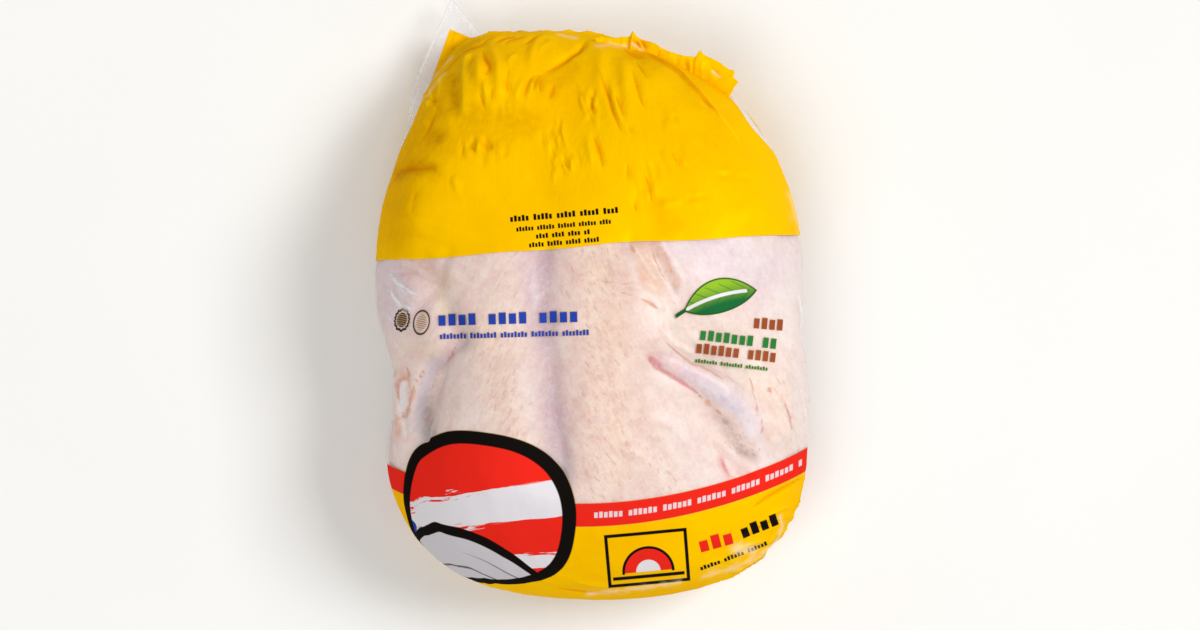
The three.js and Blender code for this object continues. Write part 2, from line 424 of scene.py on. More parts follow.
@dataclass(frozen=True)
class Crease:
    """A crease in the film along a line across the top. Millimetres.

    A fold is a step: the film on the left of the path, as it runs, stands over the film on its right.
    """

    path: Line
    width: float
    height: float
    fold: bool = False
    lip_reach: float = 2.6  # how far the upper side of a fold stands up, in widths
    drop_reach: float = 0.9  # how far its lower side is drawn down, in widths
    full_height: float = 1.2  # a lower crease has a narrower line

    def profile(self, flat: Array) -> tuple[Array, Array]:
        """The crease's shape, tapered towards both its ends.

        Args:
            flat: places seen from above.

        Returns:
            The lift at each place, and how far the place is from the crease's line, in half widths of it.
        """
        path = smooth_curve(self.path, np.linspace(0.0, 1.0, 3 * len(self.path) - 2))
        away, along = distance_to_path(flat, path)
        taper = np.clip(np.sin(math.pi * np.clip(along, 0.02, 0.98)), 0.0, 1.0) ** 0.6
        near = away / (0.5 * self.width * min(1.0, abs(self.height) / self.full_height) * taper + 0.1)
        if not self.fold:
            return self.height * taper * np.exp(-((away / self.width) ** 2)), near
        steps = np.diff(path, axis=0)
        passed = np.cumsum(np.linalg.norm(steps, axis=1))
        nearest = np.minimum(np.searchsorted(passed / passed[-1], along), len(steps) - 1)
        offset = flat - path[nearest]
        side = steps[nearest, 0] * offset[:, 1] - steps[nearest, 1] * offset[:, 0]
        lip = np.exp(-((away / (self.lip_reach * self.width)) ** 2))
        drop = np.exp(-((away / (self.drop_reach * self.width)) ** 2)) * (1.0 - 1.4 * np.tanh(away / 0.4))
        return self.height * taper * np.where(side > 0, lip, drop), near


FAR = 9.0  # in half widths: no crease is near
TIGHT = 1.85  # millimetres: a wider crease is too soft to show as a line


def crease(creases: Iterable[Crease], points: Array) -> tuple[Array, dict[str, Array]]:
    """Crease the upper side of a film.

    Args:
        creases: its creases.
        points: points of the film.

    Returns:
        How far each point is lifted, and how far it lies from the nearest tight valley and from the nearest
        tight ridge, in half widths of them.
    """
    flat = points[:, :2]
    lift = np.zeros(len(points))
    lines = {side: np.full(len(points), FAR) for side in ("valleys", "ridges")}
    for item in creases:
        margin = 6.0 * item.width
        low, high = np.min(item.path, axis=0) - margin, np.max(item.path, axis=0) + margin
        here = np.nonzero(np.all((flat > low) & (flat < high), axis=1))[0]
        rise, near = item.profile(flat[here])
        lift[here] += rise
        # tight creases also get painted lines: shade along valleys, highlights along ridges
        if item.width < TIGHT:
            line = lines["valleys" if item.fold or item.height < 0 else "ridges"]
            line[here] = np.minimum(line[here], near)
    return lift, lines


FILM_CREASES = each(
    Crease,
    (  # the ear's lip
        "13.8,111.6 18.4,110 23.6,109.2 25.8,108.6 29,106.8 31.8,105 35.8,102.6 38.8,100.2 40.8,98 43.8,94.8"
        " 47.2,91.2 50.2,88.6 52.6,85.8 54.4,83 56,80.6",
        1,
        1.2,
        True,
    ),
    ("14.5,111 19,109.5 23.5,108.5", 1.7, -1),
    ("47.4,91 50,88.4 53.2,84.8", 1.3, -0.8),
    # the groove from the gathered end
    ("-2.2,116.6 -4,114.4 -5.8,112.2 -8,110.2 -12,107.6 -16.6,104.6 -19.8,102.2 -22,100.4", 1.2, -2.2),
    ("-4,114.5 -6,112 -7.5,110.5", 1.9, -0.8),
    ("-22,100.4 -24.2,98.8 -25.4,96 -26.4,92", 0.9, -1.3),
    ("-24.6,100 -27.6,97.8 -29.4,93.8 -30.8,89.8", 1, -1.4),
    ("-22.8,98.2 -23.4,95.6 -23.2,92", 1.1, -1.3),
    ("-17,96 -18,91.5 -19,88.5", 1.8, -1.1),
    ("3.4,101.4 4.8,95.2 7.4,88.6 9,82.6 10.8,78.2 12.8,73.6", 1.2, -1.4),
    ("10,90.6 11.6,86.2 13.6,80.6", 1, -1.2),
    ("15.6,76.8 17,73.6", 0.8, -0.8),
    ("-0.8,90.6 -0.4,85.8 0,82.2", 1, -1.3),
    ("0.2,72.4 1.4,68.8 3.2,63.8 4.4,58.4", 1.3, -1.3),
    ("19,106 21.8,102 24.4,98.4", 1.2, -0.9),
    ("17.5,102 19,96.5 21.5,88 22.5,85.5", 1.4, -1.1),
    ("36.4,82.2 36.4,77.2", 0.9, -0.8),
    ("22.8,55.8 24.8,50 26,42.8", 1.2, -1.1),
    ("15.2,59.8 15.4,52.6", 1, -0.9),
    ("17.8,44.4 19.4,38", 0.9, -0.8),
    ("33.8,66 37,61 38.6,58.4", 0.8, -0.8),
    ("29,67 29.2,64.2", 0.8, -0.7),
    ("53.6,70.6 55.4,66.6", 0.8, -0.6),
    ("-89,53 -87,56.5 -82.5,58.5 -77,58.5 -71.5,58.5 -69,56.5", 1.7, -1.5),  # the tuck
    (
        "-44.6,117.2 -47.8,115.6 -50.4,113.6 -58,111.2 -61.6,107.8 -63,106.2 -66.6,102.2 -70.6,98.2"
        " -72.8,96 -75,93.8",
        0.9,
        -1,
    ),
    ("-43.4,114.4 -41.6,116 -38.8,117.4 -34.8,117.8", 1, -0.9),
    ("-39,113.8 -37.6,115.8 -33.8,117.2 -30.4,118", 0.9, -0.8),
    ("-30.8,113.8 -27.6,116 -24.8,117.6", 1, -0.8),
    ("-49,111 -48,107.5 -46,104.5 -46.5,101 -48,99.5", 1.7, -1.6),
    ("-50.2,92 -48.8,87.6 -47.4,84.4", 0.9, -1),
    ("-44.8,93.8 -44.8,88.4", 1, -0.9),
    ("-91.5,34 -87,32 -82.5,29 -76,26.5 -69.5,24.5 -63.5,23", 2.8, -0.9),
    ("-69.5,40 -57,39 -46.5,36 -39.5,32", 3.4, -0.7),
    ("-50.5,49.5 -44,48 -37.5,44", 3.4, -0.7),
    ("-29.5,55 -23,50 -16.5,45.5", 3.2, -0.9),
    ("-2.2,93.8 -2,84", 0.8, 0.7),
    ("1.6,92 1.8,83", 1, 1),
    ("-55.8,70.2 -55.4,63.4", 1, 1),
    ("-51,70.2 -50.2,63.4", 1.1, 1.2),
    ("-41,70.2 -40.8,66", 0.8, 0.8),
    ("-57.6,70.2 -57.6,64.2", 0.8, -0.8),
    ("-47.8,70.2 -46.8,66", 0.9, -1),
    ("-44.6,70.2 -44.4,66", 0.7, -0.7),
    ("-9.6,62.2 -9,56.4", 1, 1.1),
    ("-13,59.8 -12.6,57.2", 0.8, 0.8),
    ("-17.4,57.2 -17,51.8", 0.8, 0.8),
    ("-19.6,72.4 -18.4,64.2", 0.8, 0.8),
    ("-13.4,79 -13.2,72.4", 0.8, 0.7),
    ("-60.8,52.2 -60.6,47.4", 0.7, 0.7),
    ("-2.5,71.5 -1,64.5 0,59", 1.8, 1),
    ("8,96 10.2,87 12.6,78.2", 1.3, 1.2),
    ("14,107 14.5,94 16.5,82.5", 2.4, 1),
    ("55.5,83 62.5,74 66,66", 1.8, 0.6),  # crease beyond the lip
    ("-8,107 -15,102 -18,95", 5.5, -1.8),  # hollow beside it
    ("-37.2,101.8 -38,96.8 -37.2,90.2", 1.1, -0.9),
    ("-33.6,108.8 -36.6,106.8 -37.6,104", 1.1, 0.9),
    ("-23,116.5 -26,112.5 -27.5,107.5 -27,102", 2.2, 1.7),
    ("-18.8,116 -19.6,114 -22.8,111.6 -23.8,107.8", 1.2, 0.8),
    ("-31.2,96.8 -33.2,92 -33.6,88.4", 1.2, 1.2),
    ("-26.8,97.8 -27.8,92.4 -29.2,88.4", 1.1, 0.9),
    ("-23.8,97.8 -24.6,92.4", 0.8, 0.7),
    ("-45.5,112 -42.5,104.5 -42,98 -41.5,90", 2.2, 1.9),
    ("-48.2,96.8 -47.2,91 -47.2,84.8", 0.9, 1.1),
    ("-52,107.5 -50.5,102 -50.5,96.5", 2.4, 2.3),
    ("-53.6,109.4 -55.8,107.2 -56.2,103.6", 0.9, 1.3),
    ("-17,117.4 -23.6,116.4 -26.8,114.4", 0.9, 0.6),
    ("-60.2,110.4 -63.2,107.6 -67,103.8 -72.8,98.2 -76.4,93 -79.6,88.4", 0.9, 1),
    ("-61,99 -61,91.5 -61.5,84", 3.2, -2.4),
    ("-56.5,109 -57,96 -57,81.5", 1.6, 1.4),
    ("-68.2,104.4 -68,96 -69.6,87.6", 1.3, 0.9),
    ("-72.8,96.4 -72,90.2 -73.6,84", 1.1, 0.8),
    ("-70,84 -72.8,76.8 -76.8,70.4", 1.2, -0.8),
    ("-66.5,72.5 -71,71.5 -73.5,73", 2, -1.4),
    ("-64.8,81.2 -64,80.4", 0.8, 1),
    ("-70.4,76.4 -69.6,75.6", 0.8, 1),
    ("-76,70.4 -75.6,69.6", 0.7, 0.8),
    ("3.2,103.2 4.8,94.4", 1.2, 0.8),
    ("3.5,111.5 3,102.5 3,91.5", 3, 1.4),
    ("11,108 14,100 15,93", 3, 1.3),
    ("-88,49 -82.5,52 -75.5,52.5", 3.6, 1.2),
    ("-76.4,50 -78.8,44.6 -79.6,37.2", 1.1, -0.6),
    ("-87.5,36.5 -73.5,35 -61.5,31.5 -50.5,27", 2.4, 1.2),
    ("-81.5,42 -68.5,39.5 -55,35", 2.2, 0.8),
    ("-68,55 -55,51 -42,43", 4, 1),
    ("-88.4,11.2 -80.8,11.6 -76,12", 0.9, -0.7),
    ("-88.8,10.4 -87,8 -83,5.8 -79.6,3.2 -76.4,1.8", 0.7, 1),
    ("-91.6,8.8 -88.4,7 -85.2,6.2", 0.8, -0.6),
    ("-89,4.8 -88.4,2.2 -86.2,-0.4 -83.6,-3.6", 0.7, 1),
    ("-82.6,-1.2 -80.4,-4.4 -80,-6.2", 0.6, 0.9),
    ("-92.8,-5.4 -88.4,-8.8 -87,-13.4", 0.7, 0.5),
    ("-88.4,-17 -86.6,-20 -84.8,-22.4", 0.7, 0.7),
    ("-86.6,-41.2 -86.2,-45.6 -85.6,-50", 0.7, 0.6),
    ("88.8,5.8 92.4,-4 92.4,-16", 0.8, 0.6),
    ("89.2,-17 87,-24.6", 0.6, 0.5),
    ("91,-36.2 94,-48 94.8,-62", 0.8, 0.5),
    ("90.2,-70 92.8,-77 96,-86", 1, 0.7),
    ("70,-92 80,-86 93,-79", 1.5, -1.2),  # folds at the gathered neck corner
    ("72,-101 81,-93 89,-91", 1.2, 1.3),
    ("66,-107 76,-100 86,-97", 1.2, -1),
    ("58,-113 68,-108 79,-106", 1.2, 1.2),
    ("46,-119 56,-115 64,-116", 1.2, 0.8),
    ("-10,-124 0,-126 12,-128", 1.2, 0.7),  # pinched seal at the neck end
    ("-16,-128 -4,-130 10,-131", 1, -0.7),
)


@dataclass(frozen=True)
class PleatFan:
    """A cluster of short fine pleats that run much the same way. Millimetres on the top view."""

    middle: Place
    spread: Place
    aim: Place
    length: float
    count: int
    height: float = 0.5
    width: float = 0.9

    def creases(self, random: np.random.Generator) -> list[Crease]:
        """Draw the cluster's pleats.

        Args:
            random: where the draws come from.

        Returns:
            One crease for each pleat.
        """
        heading = math.atan2(self.aim[1], self.aim[0])
        pleats = []
        for _ in range(self.count):
            turn = heading + random.normal(0.0, 0.12)
            step = self.length * random.uniform(0.5, 1.2) / 2
            x, y = (self.middle[i] + self.spread[i] * random.uniform(-1, 1) for i in (0, 1))
            run = (step * math.cos(turn), step * math.sin(turn))
            bow = random.normal(0.0, 0.06) * step
            path = ((x - run[0], y - run[1]), (x + bow * run[1], y - bow * run[0]), (x + run[0], y + run[1]))
            height = self.height * random.uniform(0.4, 1.1) * random.choice([-1.0, 1.0])
            pleats.append(Crease(path, self.width * random.uniform(0.7, 1.3), height))
        return pleats


PLEAT_FANS = (
    PleatFan((-49, 67), (11, 3.5), (0.15, -1), 9, 14, 1.3),
    PleatFan((-17, 70), (6, 6), (0.2, -1), 10, 10, 1.0),
    PleatFan((-12, 59), (6, 3), (0.35, -1), 7, 9, 1.2),
    PleatFan((-60, 50), (3, 4), (0.1, -1), 8, 4, 0.8),
    PleatFan((-42, 88), (8, 6), (0.1, -1), 9, 7, 1.0),
    PleatFan((2, 84), (8, 7), (0.25, -1), 13, 9, 1.0),
    PleatFan((33, 78), (6, 5), (0.3, -1), 7, 9, 0.75),
    PleatFan((36, 62), (5, 5), (0.45, -1), 9, 7, 0.9),
    PleatFan((52, 68), (7, 5), (0.5, -1), 9, 7, 0.8),
    PleatFan((22, 50), (6, 9), (0.3, -1), 11, 8, 0.9),
    PleatFan((64, 56), (8, 3.5), (1, 0.2), 5, 10, 0.7),
    PleatFan((-72, 84), (3.5, 10), (0.5, 1), 3, 16, 1.2, 1.3),
    PleatFan((38, 45), (16, 3), (1, 0.1), 6, 9, 0.6),
)


def above_level(points: Array, lowest: float) -> Array:
    """Points, with those below a height raised to it."""
    return np.column_stack([points[:, 0], points[:, 1], np.maximum(points[:, 2], lowest)])


class PackGrid:
    """The pack's surface as rings of points from the neck pole to the tail pole."""

    COLUMNS = 330
    ROWS = 298
    TOP_SHARE = 0.55  # how much closer the columns stand on the breast side
    MIDDLE_SHARE = 0.3  # how much closer the rows stand in the middle

    def __init__(self, shape: PackShape) -> None:
        """Lay the grid on the plain pack.

        Args:
            shape: the plain pack.
        """
        self.shape = shape
        along = np.arange(self.ROWS + 1) / self.ROWS
        along = along + self.MIDDLE_SHARE * np.sin(2.0 * math.pi * along) / (2.0 * math.pi)
        y = shape.neck_y + (shape.tail_y - shape.neck_y) * (1.0 - np.cos(math.pi * along)) / 2.0
        turn = 2.0 * math.pi * np.arange(self.COLUMNS) / self.COLUMNS - math.pi / 2.0
        angle = turn + self.TOP_SHARE * np.cos(turn)
        self.y = np.repeat(y, self.COLUMNS)
        self.angle = np.tile(angle, self.ROWS + 1)
        self.plain = shape.points(self.y, self.angle)
        for row, end in ((0, shape.neck_y), (self.ROWS, shape.tail_y)):
            pole = (float(shape.centre_line(end)), end, float(shape.level(end)))
            self.plain[row * self.COLUMNS : (row + 1) * self.COLUMNS] = pole
        outward = self.plain - shape.core(self.y)
        self.outward = outward / np.linalg.norm(outward, axis=1)[:, None]

    def relief(self, forms: Iterable[Form | Limb]) -> Array:
        """The push of a set of forms at each point."""
        return sum(form.push(self.shape, self.plain) for form in forms)

    def rise(self, points: Array) -> Array:
        """How far points lie above the widest outline."""
        return points[:, 2] - self.shape.level(points[:, 1])

    def top_side(self, points: Array) -> Array:
        """1 on the breast side and 0 on the back, with a soft edge along the widest outline."""
        return smoothstep(-12.0, 6.0, self.rise(points))

    def neighbours(self, values: Array) -> Array:
        """Average the four neighbours of each point in the grid.

        Args:
            values: a value for each point.

        Returns:
            The means.
        """
        grid = values.reshape(self.ROWS + 1, self.COLUMNS)
        before = np.vstack([grid[:1], grid[:-1]])
        after = np.vstack([grid[1:], grid[-1:]])
        mean = (before + after + np.roll(grid, 1, axis=1) + np.roll(grid, -1, axis=1)) / 4.0
        mean[0], mean[-1] = mean[0].mean(), mean[-1].mean()
        return mean.ravel()

    def drape(self, under: Array, gap: float, passes: int, pull: float) -> Array:
        """Stretch a film over a relief, so that it bridges the grooves and touches the ridges.

        Args:
            under: the relief.
            gap: how far the film stays off it.
            passes: how many times the film is evened out.
            pull: how far its tension draws it in at each pass.

        Returns:
            The film's own relief.
        """
        film = under + gap
        for _ in range(passes):
            film = np.maximum(under + gap, self.neighbours(film) - pull)
        return film

    def place(self, push: Array, lowest: float = 0.0) -> Array:
        """The points pushed out from the plain pack, and never below a height."""
        return above_level(self.plain + self.outward * push[:, None], lowest)

    def lifted(self, points: Array, lift: Array, lowest: float = 0.0) -> Array:
        """A surface on the grid with its points lifted along its normals, and never below a height."""
        return above_level(points + self.normals(points) * lift[:, None], lowest)

    def normals(self, points: Array) -> Array:
        """Work out the outward normals of a surface on the grid.

        Args:
            points: the surface.

        Returns:
            The normal at each point.
        """
        grid = points.reshape(self.ROWS + 1, self.COLUMNS, 3)
        outward = self.outward.reshape(grid.shape)
        around = np.roll(grid, -1, axis=1) - np.roll(grid, 1, axis=1)
        along = np.vstack([grid[1:], grid[-1:]]) - np.vstack([grid[:1], grid[:-1]])
        normal = np.cross(along, around)
        length = np.linalg.norm(normal, axis=2, keepdims=True)
        normal = np.where(length > 1e-9, normal / np.maximum(length, 1e-9), outward)
        flip = np.sum(normal * outward, axis=2, keepdims=True) < 0
        return np.where(flip, -normal, normal).reshape(-1, 3)

    def unrolled(self, points: Array) -> Array:
        """Lay a surface on the grid out flat.

        Args:
            points: the surface.

        Returns:
            For each point, how far it is round from the breast's middle and along from the crown, and 0.
        """
        grid = points.reshape(self.ROWS + 1, self.COLUMNS, 3)
        around = np.linalg.norm(np.roll(grid, -1, axis=1) - grid, axis=2)
        passed = np.concatenate([np.zeros((self.ROWS + 1, 1)), np.cumsum(around, axis=1)[:, :-1]], axis=1)
        middle = self.COLUMNS // 2
        across = passed[:, middle : middle + 1] - passed
        along = np.linalg.norm(np.diff(grid, axis=0), axis=2)
        length = np.vstack([np.zeros((1, self.COLUMNS)), np.cumsum(along, axis=0)])
        crown = int(np.argmin(np.abs(grid[:, 0, 1] - self.shape.crown_y)))
        stretch = length - length[crown] + grid[crown, :, 1]
        side = np.where(np.cos(self.angle.reshape(across.shape)) >= 0, 1.0, -1.0)
        return np.column_stack([(np.abs(across) * side).ravel(), stretch.ravel(), np.zeros(across.size)])

    def flat_place(self, points: Array, flat: Array, x: float, y: float) -> Place:
        """Where a place seen from above lies on the unrolled film."""
        away = np.where(self.rise(points) > 0.0, (points[:, 0] - x) ** 2 + (points[:, 1] - y) ** 2, np.inf)
        return tuple(float(part) for part in flat[int(np.argmin(away)), :2])

    def mesh(self, name: str, points: Array, shift: Place, layers: Mapping[str, Array]) -> bpy.types.Object:
        """Make a closed smooth mesh of a surface on the grid.

        Args:
            name: the piece's name.
            points: the surface, in millimetres.
            shift: what to add to reach the frame's origin, in millimetres.
            layers: values to keep on the points, by name: plain numbers, vectors or colours.

        Returns:
            The new object.
        """
        count = self.COLUMNS
        inner = np.arange(count, count * self.ROWS)
        keep = np.concatenate([[0], inner, [count * self.ROWS]])
        rows = self.ROWS - 1
        first = 1 + np.arange(rows - 1)[:, None] * count
        column = np.arange(count)[None, :]
        after = (column + 1) % count
        second = first + count
        quads = np.stack([first + column, first + after, second + after, second + column], axis=-1)
        top = 1 + (rows - 1) * count
        last = 1 + rows * count
        faces = quads.reshape(-1, 4).tolist()
        faces += [(0, 1 + (j + 1) % count, 1 + j) for j in range(count)]
        faces += [(last, top + j, top + (j + 1) % count) for j in range(count)]
        placed = (points[keep] + np.array(shift)) * MM
        data = {key: values[keep] for key, values in layers.items()}
        return make_mesh(name, placed, faces, data)


def make_mesh(
    name: str, points: Array, faces: Sequence[Sequence[int]], layers: Mapping[str, Array]
) -> bpy.types.Object:
    """Make a smooth-shaded object whose faces point outwards.

    Args:
        name: the object's and the mesh's name.
        points: the vertices, in metres.
        faces: the vertex numbers of each face, all wound the same way.
        layers: values to keep on the points, by name: plain numbers, vectors or colours.

    Returns:
        The new object, linked to the scene.
    """
    data = bpy.data.meshes.new(name)
    data.from_pydata(points.tolist(), [], faces)
    data.update()
    corners = np.array([points[list(face[:3])] for face in faces])
    if np.einsum("ij,ij->i", corners[:, 0], np.cross(corners[:, 1], corners[:, 2])).sum() < 0:
        data.flip_normals()
    kinds = {1: ("FLOAT", "value"), 3: ("FLOAT_VECTOR", "vector"), 4: ("FLOAT_COLOR", "color")}
    for key, values in layers.items():
        kind, slot = kinds[1 if values.ndim == 1 else values.shape[1]]
        attribute = data.attributes.new(key, kind, "POINT")
        attribute.data.foreach_set(slot, values.astype(np.float32).ravel())
    data.polygons.foreach_set("use_smooth", [True] * len(data.polygons))
    return new_object(name, data)


def new_object(name: str, data: bpy.types.ID) -> bpy.types.Object:
    """Link a new object to the scene.

    Args:
        name: its name.
        data: its mesh, light or camera.

    Returns:
        The object.
    """
    item = bpy.data.objects.new(name, data)
    bpy.context.scene.collection.objects.link(item)
    return item


# ---- node graphs


def operator(operation: str, swapped: bool = False) -> Callable[..., Signal]:
    """Make a method that adds a Math node.

    Args:
        operation: the node's operation.
        swapped: whether the method's own argument comes before the signal.

    Returns:
        The method.
    """

    def method(self: Signal, *others: Operand) -> Signal:
        """Add the node."""
        return self.math(operation, *((*others, self) if swapped else (self, *others)))

    return method


class Signal:
    """A node's output socket, on which arithmetic adds Math nodes."""

    __add__ = operator("ADD")
    __radd__ = operator("ADD", True)
    __sub__ = operator("SUBTRACT")
    __rsub__ = operator("SUBTRACT", True)
    __mul__ = operator("MULTIPLY")
    __rmul__ = operator("MULTIPLY", True)
    __truediv__ = operator("DIVIDE")
    __rtruediv__ = operator("DIVIDE", True)
    __pow__ = operator("POWER")
    __abs__ = operator("ABSOLUTE")
    most = operator("MAXIMUM")
    sine = operator("SINE")
    floor = operator("FLOOR")

    def __init__(self, graph: Graph, socket: bpy.types.NodeSocket) -> None:
        """Wrap a socket of a graph."""
        self.graph = graph
        self.socket = socket

    def beside(self, output: int | str) -> Signal:
        """Another output of the same node."""
        return Signal(self.graph, self.socket.node.outputs[output])

    def math(self, operation: str, *values: Operand) -> Signal:
        """Add a Math node whose inputs are the values."""
        return self.graph.node("ShaderNodeMath", {"operation": operation}, dict(enumerate(values)))

    def above(self, level: Operand, softness: float) -> Signal:
        """1 where the value is above a level and 0 below, with a soft edge."""
        return self.graph.node("ShaderNodeClamp", {}, {0: (self - level) / softness + 0.5, 1: 0.0, 2: 1.0})

    def below(self, level: Operand, softness: float) -> Signal:
        """1 where the value is below a level and 0 above, with a soft edge."""
        return 1.0 - self.above(level, softness)


Operand = Signal | float
Paint = Signal | Colour | str


def turned(x: Signal, y: Signal, middle: Place, degrees: float) -> tuple[Signal, Signal]:
    """Measure places on axes of their own.

    Args:
        x: where the places are across.
        y: where they are along.
        middle: where the axes cross.
        degrees: how far the axes are turned.

    Returns:
        How far each place is on the first axis, and on the second.
    """
    cosine, sine = math.cos(math.radians(degrees)), math.sin(math.radians(degrees))
    x, y = x - middle[0], y - middle[1]
    return x * cosine + y * sine, y * cosine - x * sine


class Graph:
    """A node tree, built by expressions."""

    def __init__(self, tree: bpy.types.NodeTree) -> None:
        """Start on an empty tree."""
        self.tree = tree

    def add(self, kind: str, settings: Mapping[str, Any], inputs: Mapping[int | str, Any]) -> bpy.types.Node:
        """Add a node.

        Args:
            kind: the node's type.
            settings: its properties, which are set first.
            inputs: a value, a Signal or a screen colour such as "#fbc501" for each socket, by number or name.

        Returns:
            The node.
        """
        node = self.tree.nodes.new(kind)
        for key, value in settings.items():
            setattr(node, key, value)
        for key, value in inputs.items():
            if isinstance(value, Signal):
                self.tree.links.new(value.socket, node.inputs[key])
            else:
                screen = isinstance(value, str) and value.startswith("#")
                node.inputs[key].default_value = colour(value) if screen else value
        return node

    def node(
        self,
        kind: str,
        settings: Mapping[str, Any] | None = None,
        inputs: Mapping[int | str, Any] | None = None,
        output: int | str = 0,
    ) -> Signal:
        """Add a node and return one of its outputs."""
        return Signal(self, self.add(kind, settings or {}, inputs or {}).outputs[output])

    def attribute(self, name: str, output: str = "Fac") -> Signal:
        """Values that the mesh keeps on its points."""
        return self.node("ShaderNodeAttribute", {"attribute_name": name}, {}, output)

    def axes(self, vector: Signal) -> tuple[Signal, Signal, Signal]:
        """Split a vector into its three numbers."""
        split = self.node("ShaderNodeSeparateXYZ", {}, {0: vector})
        return split, split.beside(1), split.beside(2)

    def joined(self, *parts: Operand) -> Signal:
        """Join three numbers to a vector."""
        return self.node("ShaderNodeCombineXYZ", {}, dict(enumerate(parts)))

    def vector_math(self, operation: str, *values: Any) -> Signal:
        """Add a Vector Math node whose inputs are the values."""
        return self.node("ShaderNodeVectorMath", {"operation": operation}, dict(enumerate(values)))

    def place(self, shift: Place = (0.0, 0.0, 0.0)) -> Signal:
        """Places in millimetres on the pack's own axes, which the shift moves to the frame's."""
        coordinates = self.node("ShaderNodeTexCoord", {}, {}, "Object")
        return self.vector_math("MULTIPLY_ADD", coordinates, (1.0 / MM,) * 3, tuple(-part for part in shift))

    def noise(self, at: Signal, scale: float, detail: float = 2.0, roughness: float = 0.5) -> Signal:
        """A noise texture's value at a vector."""
        inputs = {"Vector": at, "Scale": scale, "Detail": detail, "Roughness": roughness}
        return self.node("ShaderNodeTexNoise", {}, inputs)

    def bump(self, height: Signal, distance: float, strength: float) -> Signal:
        """A normal from a height."""
        return self.node("ShaderNodeBump", {}, {"Height": height, "Distance": distance, "Strength": strength})

    def mix(self, factor: Operand, first: Paint, second: Paint) -> Signal:
        """Mix two colours."""
        return self.node("ShaderNodeMix", {"data_type": "RGBA"}, {0: factor, 6: first, 7: second}, 2)

    def coats(self, shade: Paint, *layers: tuple[Operand, Paint]) -> Signal:
        """Lay coats over a colour, each as strong as its mask."""
        return reduce(lambda under, layer: self.mix(layer[0], under, layer[1]), layers, shade)

    def principled(self, inputs: Mapping[int | str, Any]) -> Signal:
        """A Principled shader."""
        return self.node("ShaderNodeBsdfPrincipled", {}, inputs)


class Finish(Graph):
    """A material's node tree."""

    def __init__(self, name: str) -> None:
        """Start an empty material.

        Args:
            name: its name.
        """
        self.material = bpy.data.materials.new(name)
        self.material.use_nodes = True
        super().__init__(self.material.node_tree)
        self.tree.nodes.clear()

    def surface(self, shader: Signal) -> bpy.types.Material:
        """Connect the finished shader and return the material."""
        self.add("ShaderNodeOutputMaterial", {}, {"Surface": shader})
        return self.material


# ---- the print


class Ink(str, Enum):
    """The bag's printing inks, as screen colours."""

    YELLOW = "#ffc500"
    RED = "#ee2a1e"
    BLACK = "#15110f"
    BLUE = "#2a45a8"
    GREEN = "#2f7d3c"
    BROWN = "#9c4f30"
    GREY = "#6d6a6b"
    CHALK = "#e4dfe2"


@dataclass(frozen=True)
class Bar:
    """A printed row of plain blocks in place of a line of words. Millimetres on the top view, and degrees."""

    ink: Ink
    x: float
    y: float
    height: float
    turn: float
    cells: int
    pitch: float
    word: int = 0  # every how many cells one is left out, or 0 for none
    short: float = 0.8  # the height of the lower blocks, as a share of the taller ones
    block: float = 0.36  # half the width of a block, as a share of the pitch

    def mask(self, x: Signal, y: Signal) -> Signal:
        """Find where the blocks are.

        Args:
            x: where the places are across.
            y: where they are along.

        Returns:
            1 on a block and 0 beside it.
        """
        along, across = turned(x, y, (self.x, self.y), self.turn)
        width = self.cells * self.pitch
        place = (along + width / 2) / self.pitch
        cell = place.floor()
        share = self.short + (1.0 - self.short) * (cell * 2.4).sine().above(0.2, 0.1)
        base = across + self.height / 2
        mask = abs(along).below(width / 2, 0.1) * base.above(0.0, 0.25)
        mask = mask * (base / self.height).below(share, 0.1)
        mask = mask * abs(place - cell - 0.5).below(self.block, 0.2 / self.pitch)
        if self.word:
            last = ((cell + 1.5) / self.word).floor() * self.word - (cell + 1.0)
            mask = mask * abs(last).above(0.5, 0.2)
        return mask


CAPTION_BARS = (
    Bar(Ink.BLACK, -12.7, 37.4, 2.7, 4.8, 28, 1.71, 6),
    Bar(Ink.BLACK, -12.9, 32.6, 2.1, 4.8, 32, 1.31, 7),
    Bar(Ink.BLACK, -13.2, 28.8, 2.2, 4.8, 17, 1.41, 5),
    Bar(Ink.BLACK, -12.7, 25.2, 2.2, 4.8, 23, 1.35, 6),
)
WINDOW_BARS = (
    Bar(Ink.BLUE, -35.2, -8.0, 5.2, 1.6, 15, 4.46, 5, 0.9),
    Bar(Ink.BLUE, -34.6, -15.2, 2.5, 1.6, 44, 1.5, 9),
    Bar(Ink.BROWN, 77.4, -10.6, 5.0, -5.0, 4, 3.5, 0, 0.9),
    Bar(Ink.GREEN, 64.0, -17.4, 4.6, -7.0, 10, 3.5, 8, 0.9),
    Bar(Ink.BROWN, 63.0, -23.2, 4.6, -7.0, 11, 3.3, 7, 0.9),
    Bar(Ink.GREEN, 61.5, -28.6, 1.7, -7.0, 27, 1.26, 9),
)
BAND_BAR = Bar(Ink.CHALK, 46.7, 0.0, 2.7, 0.0, 43, 2.16, 7, 0.9)
NECK_BARS = (
    Bar(Ink.RED, 54.2, -106.6, 6.4, 15.0, 3, 5.5, 0, 0.8),
    Bar(Ink.BLACK, 73.6, -100.0, 5.6, 20.0, 4, 4.6, 0, 0.8),
    Bar(Ink.BLACK, 62.4, -113.6, 2.0, 20.0, 20, 1.6, 7),
)


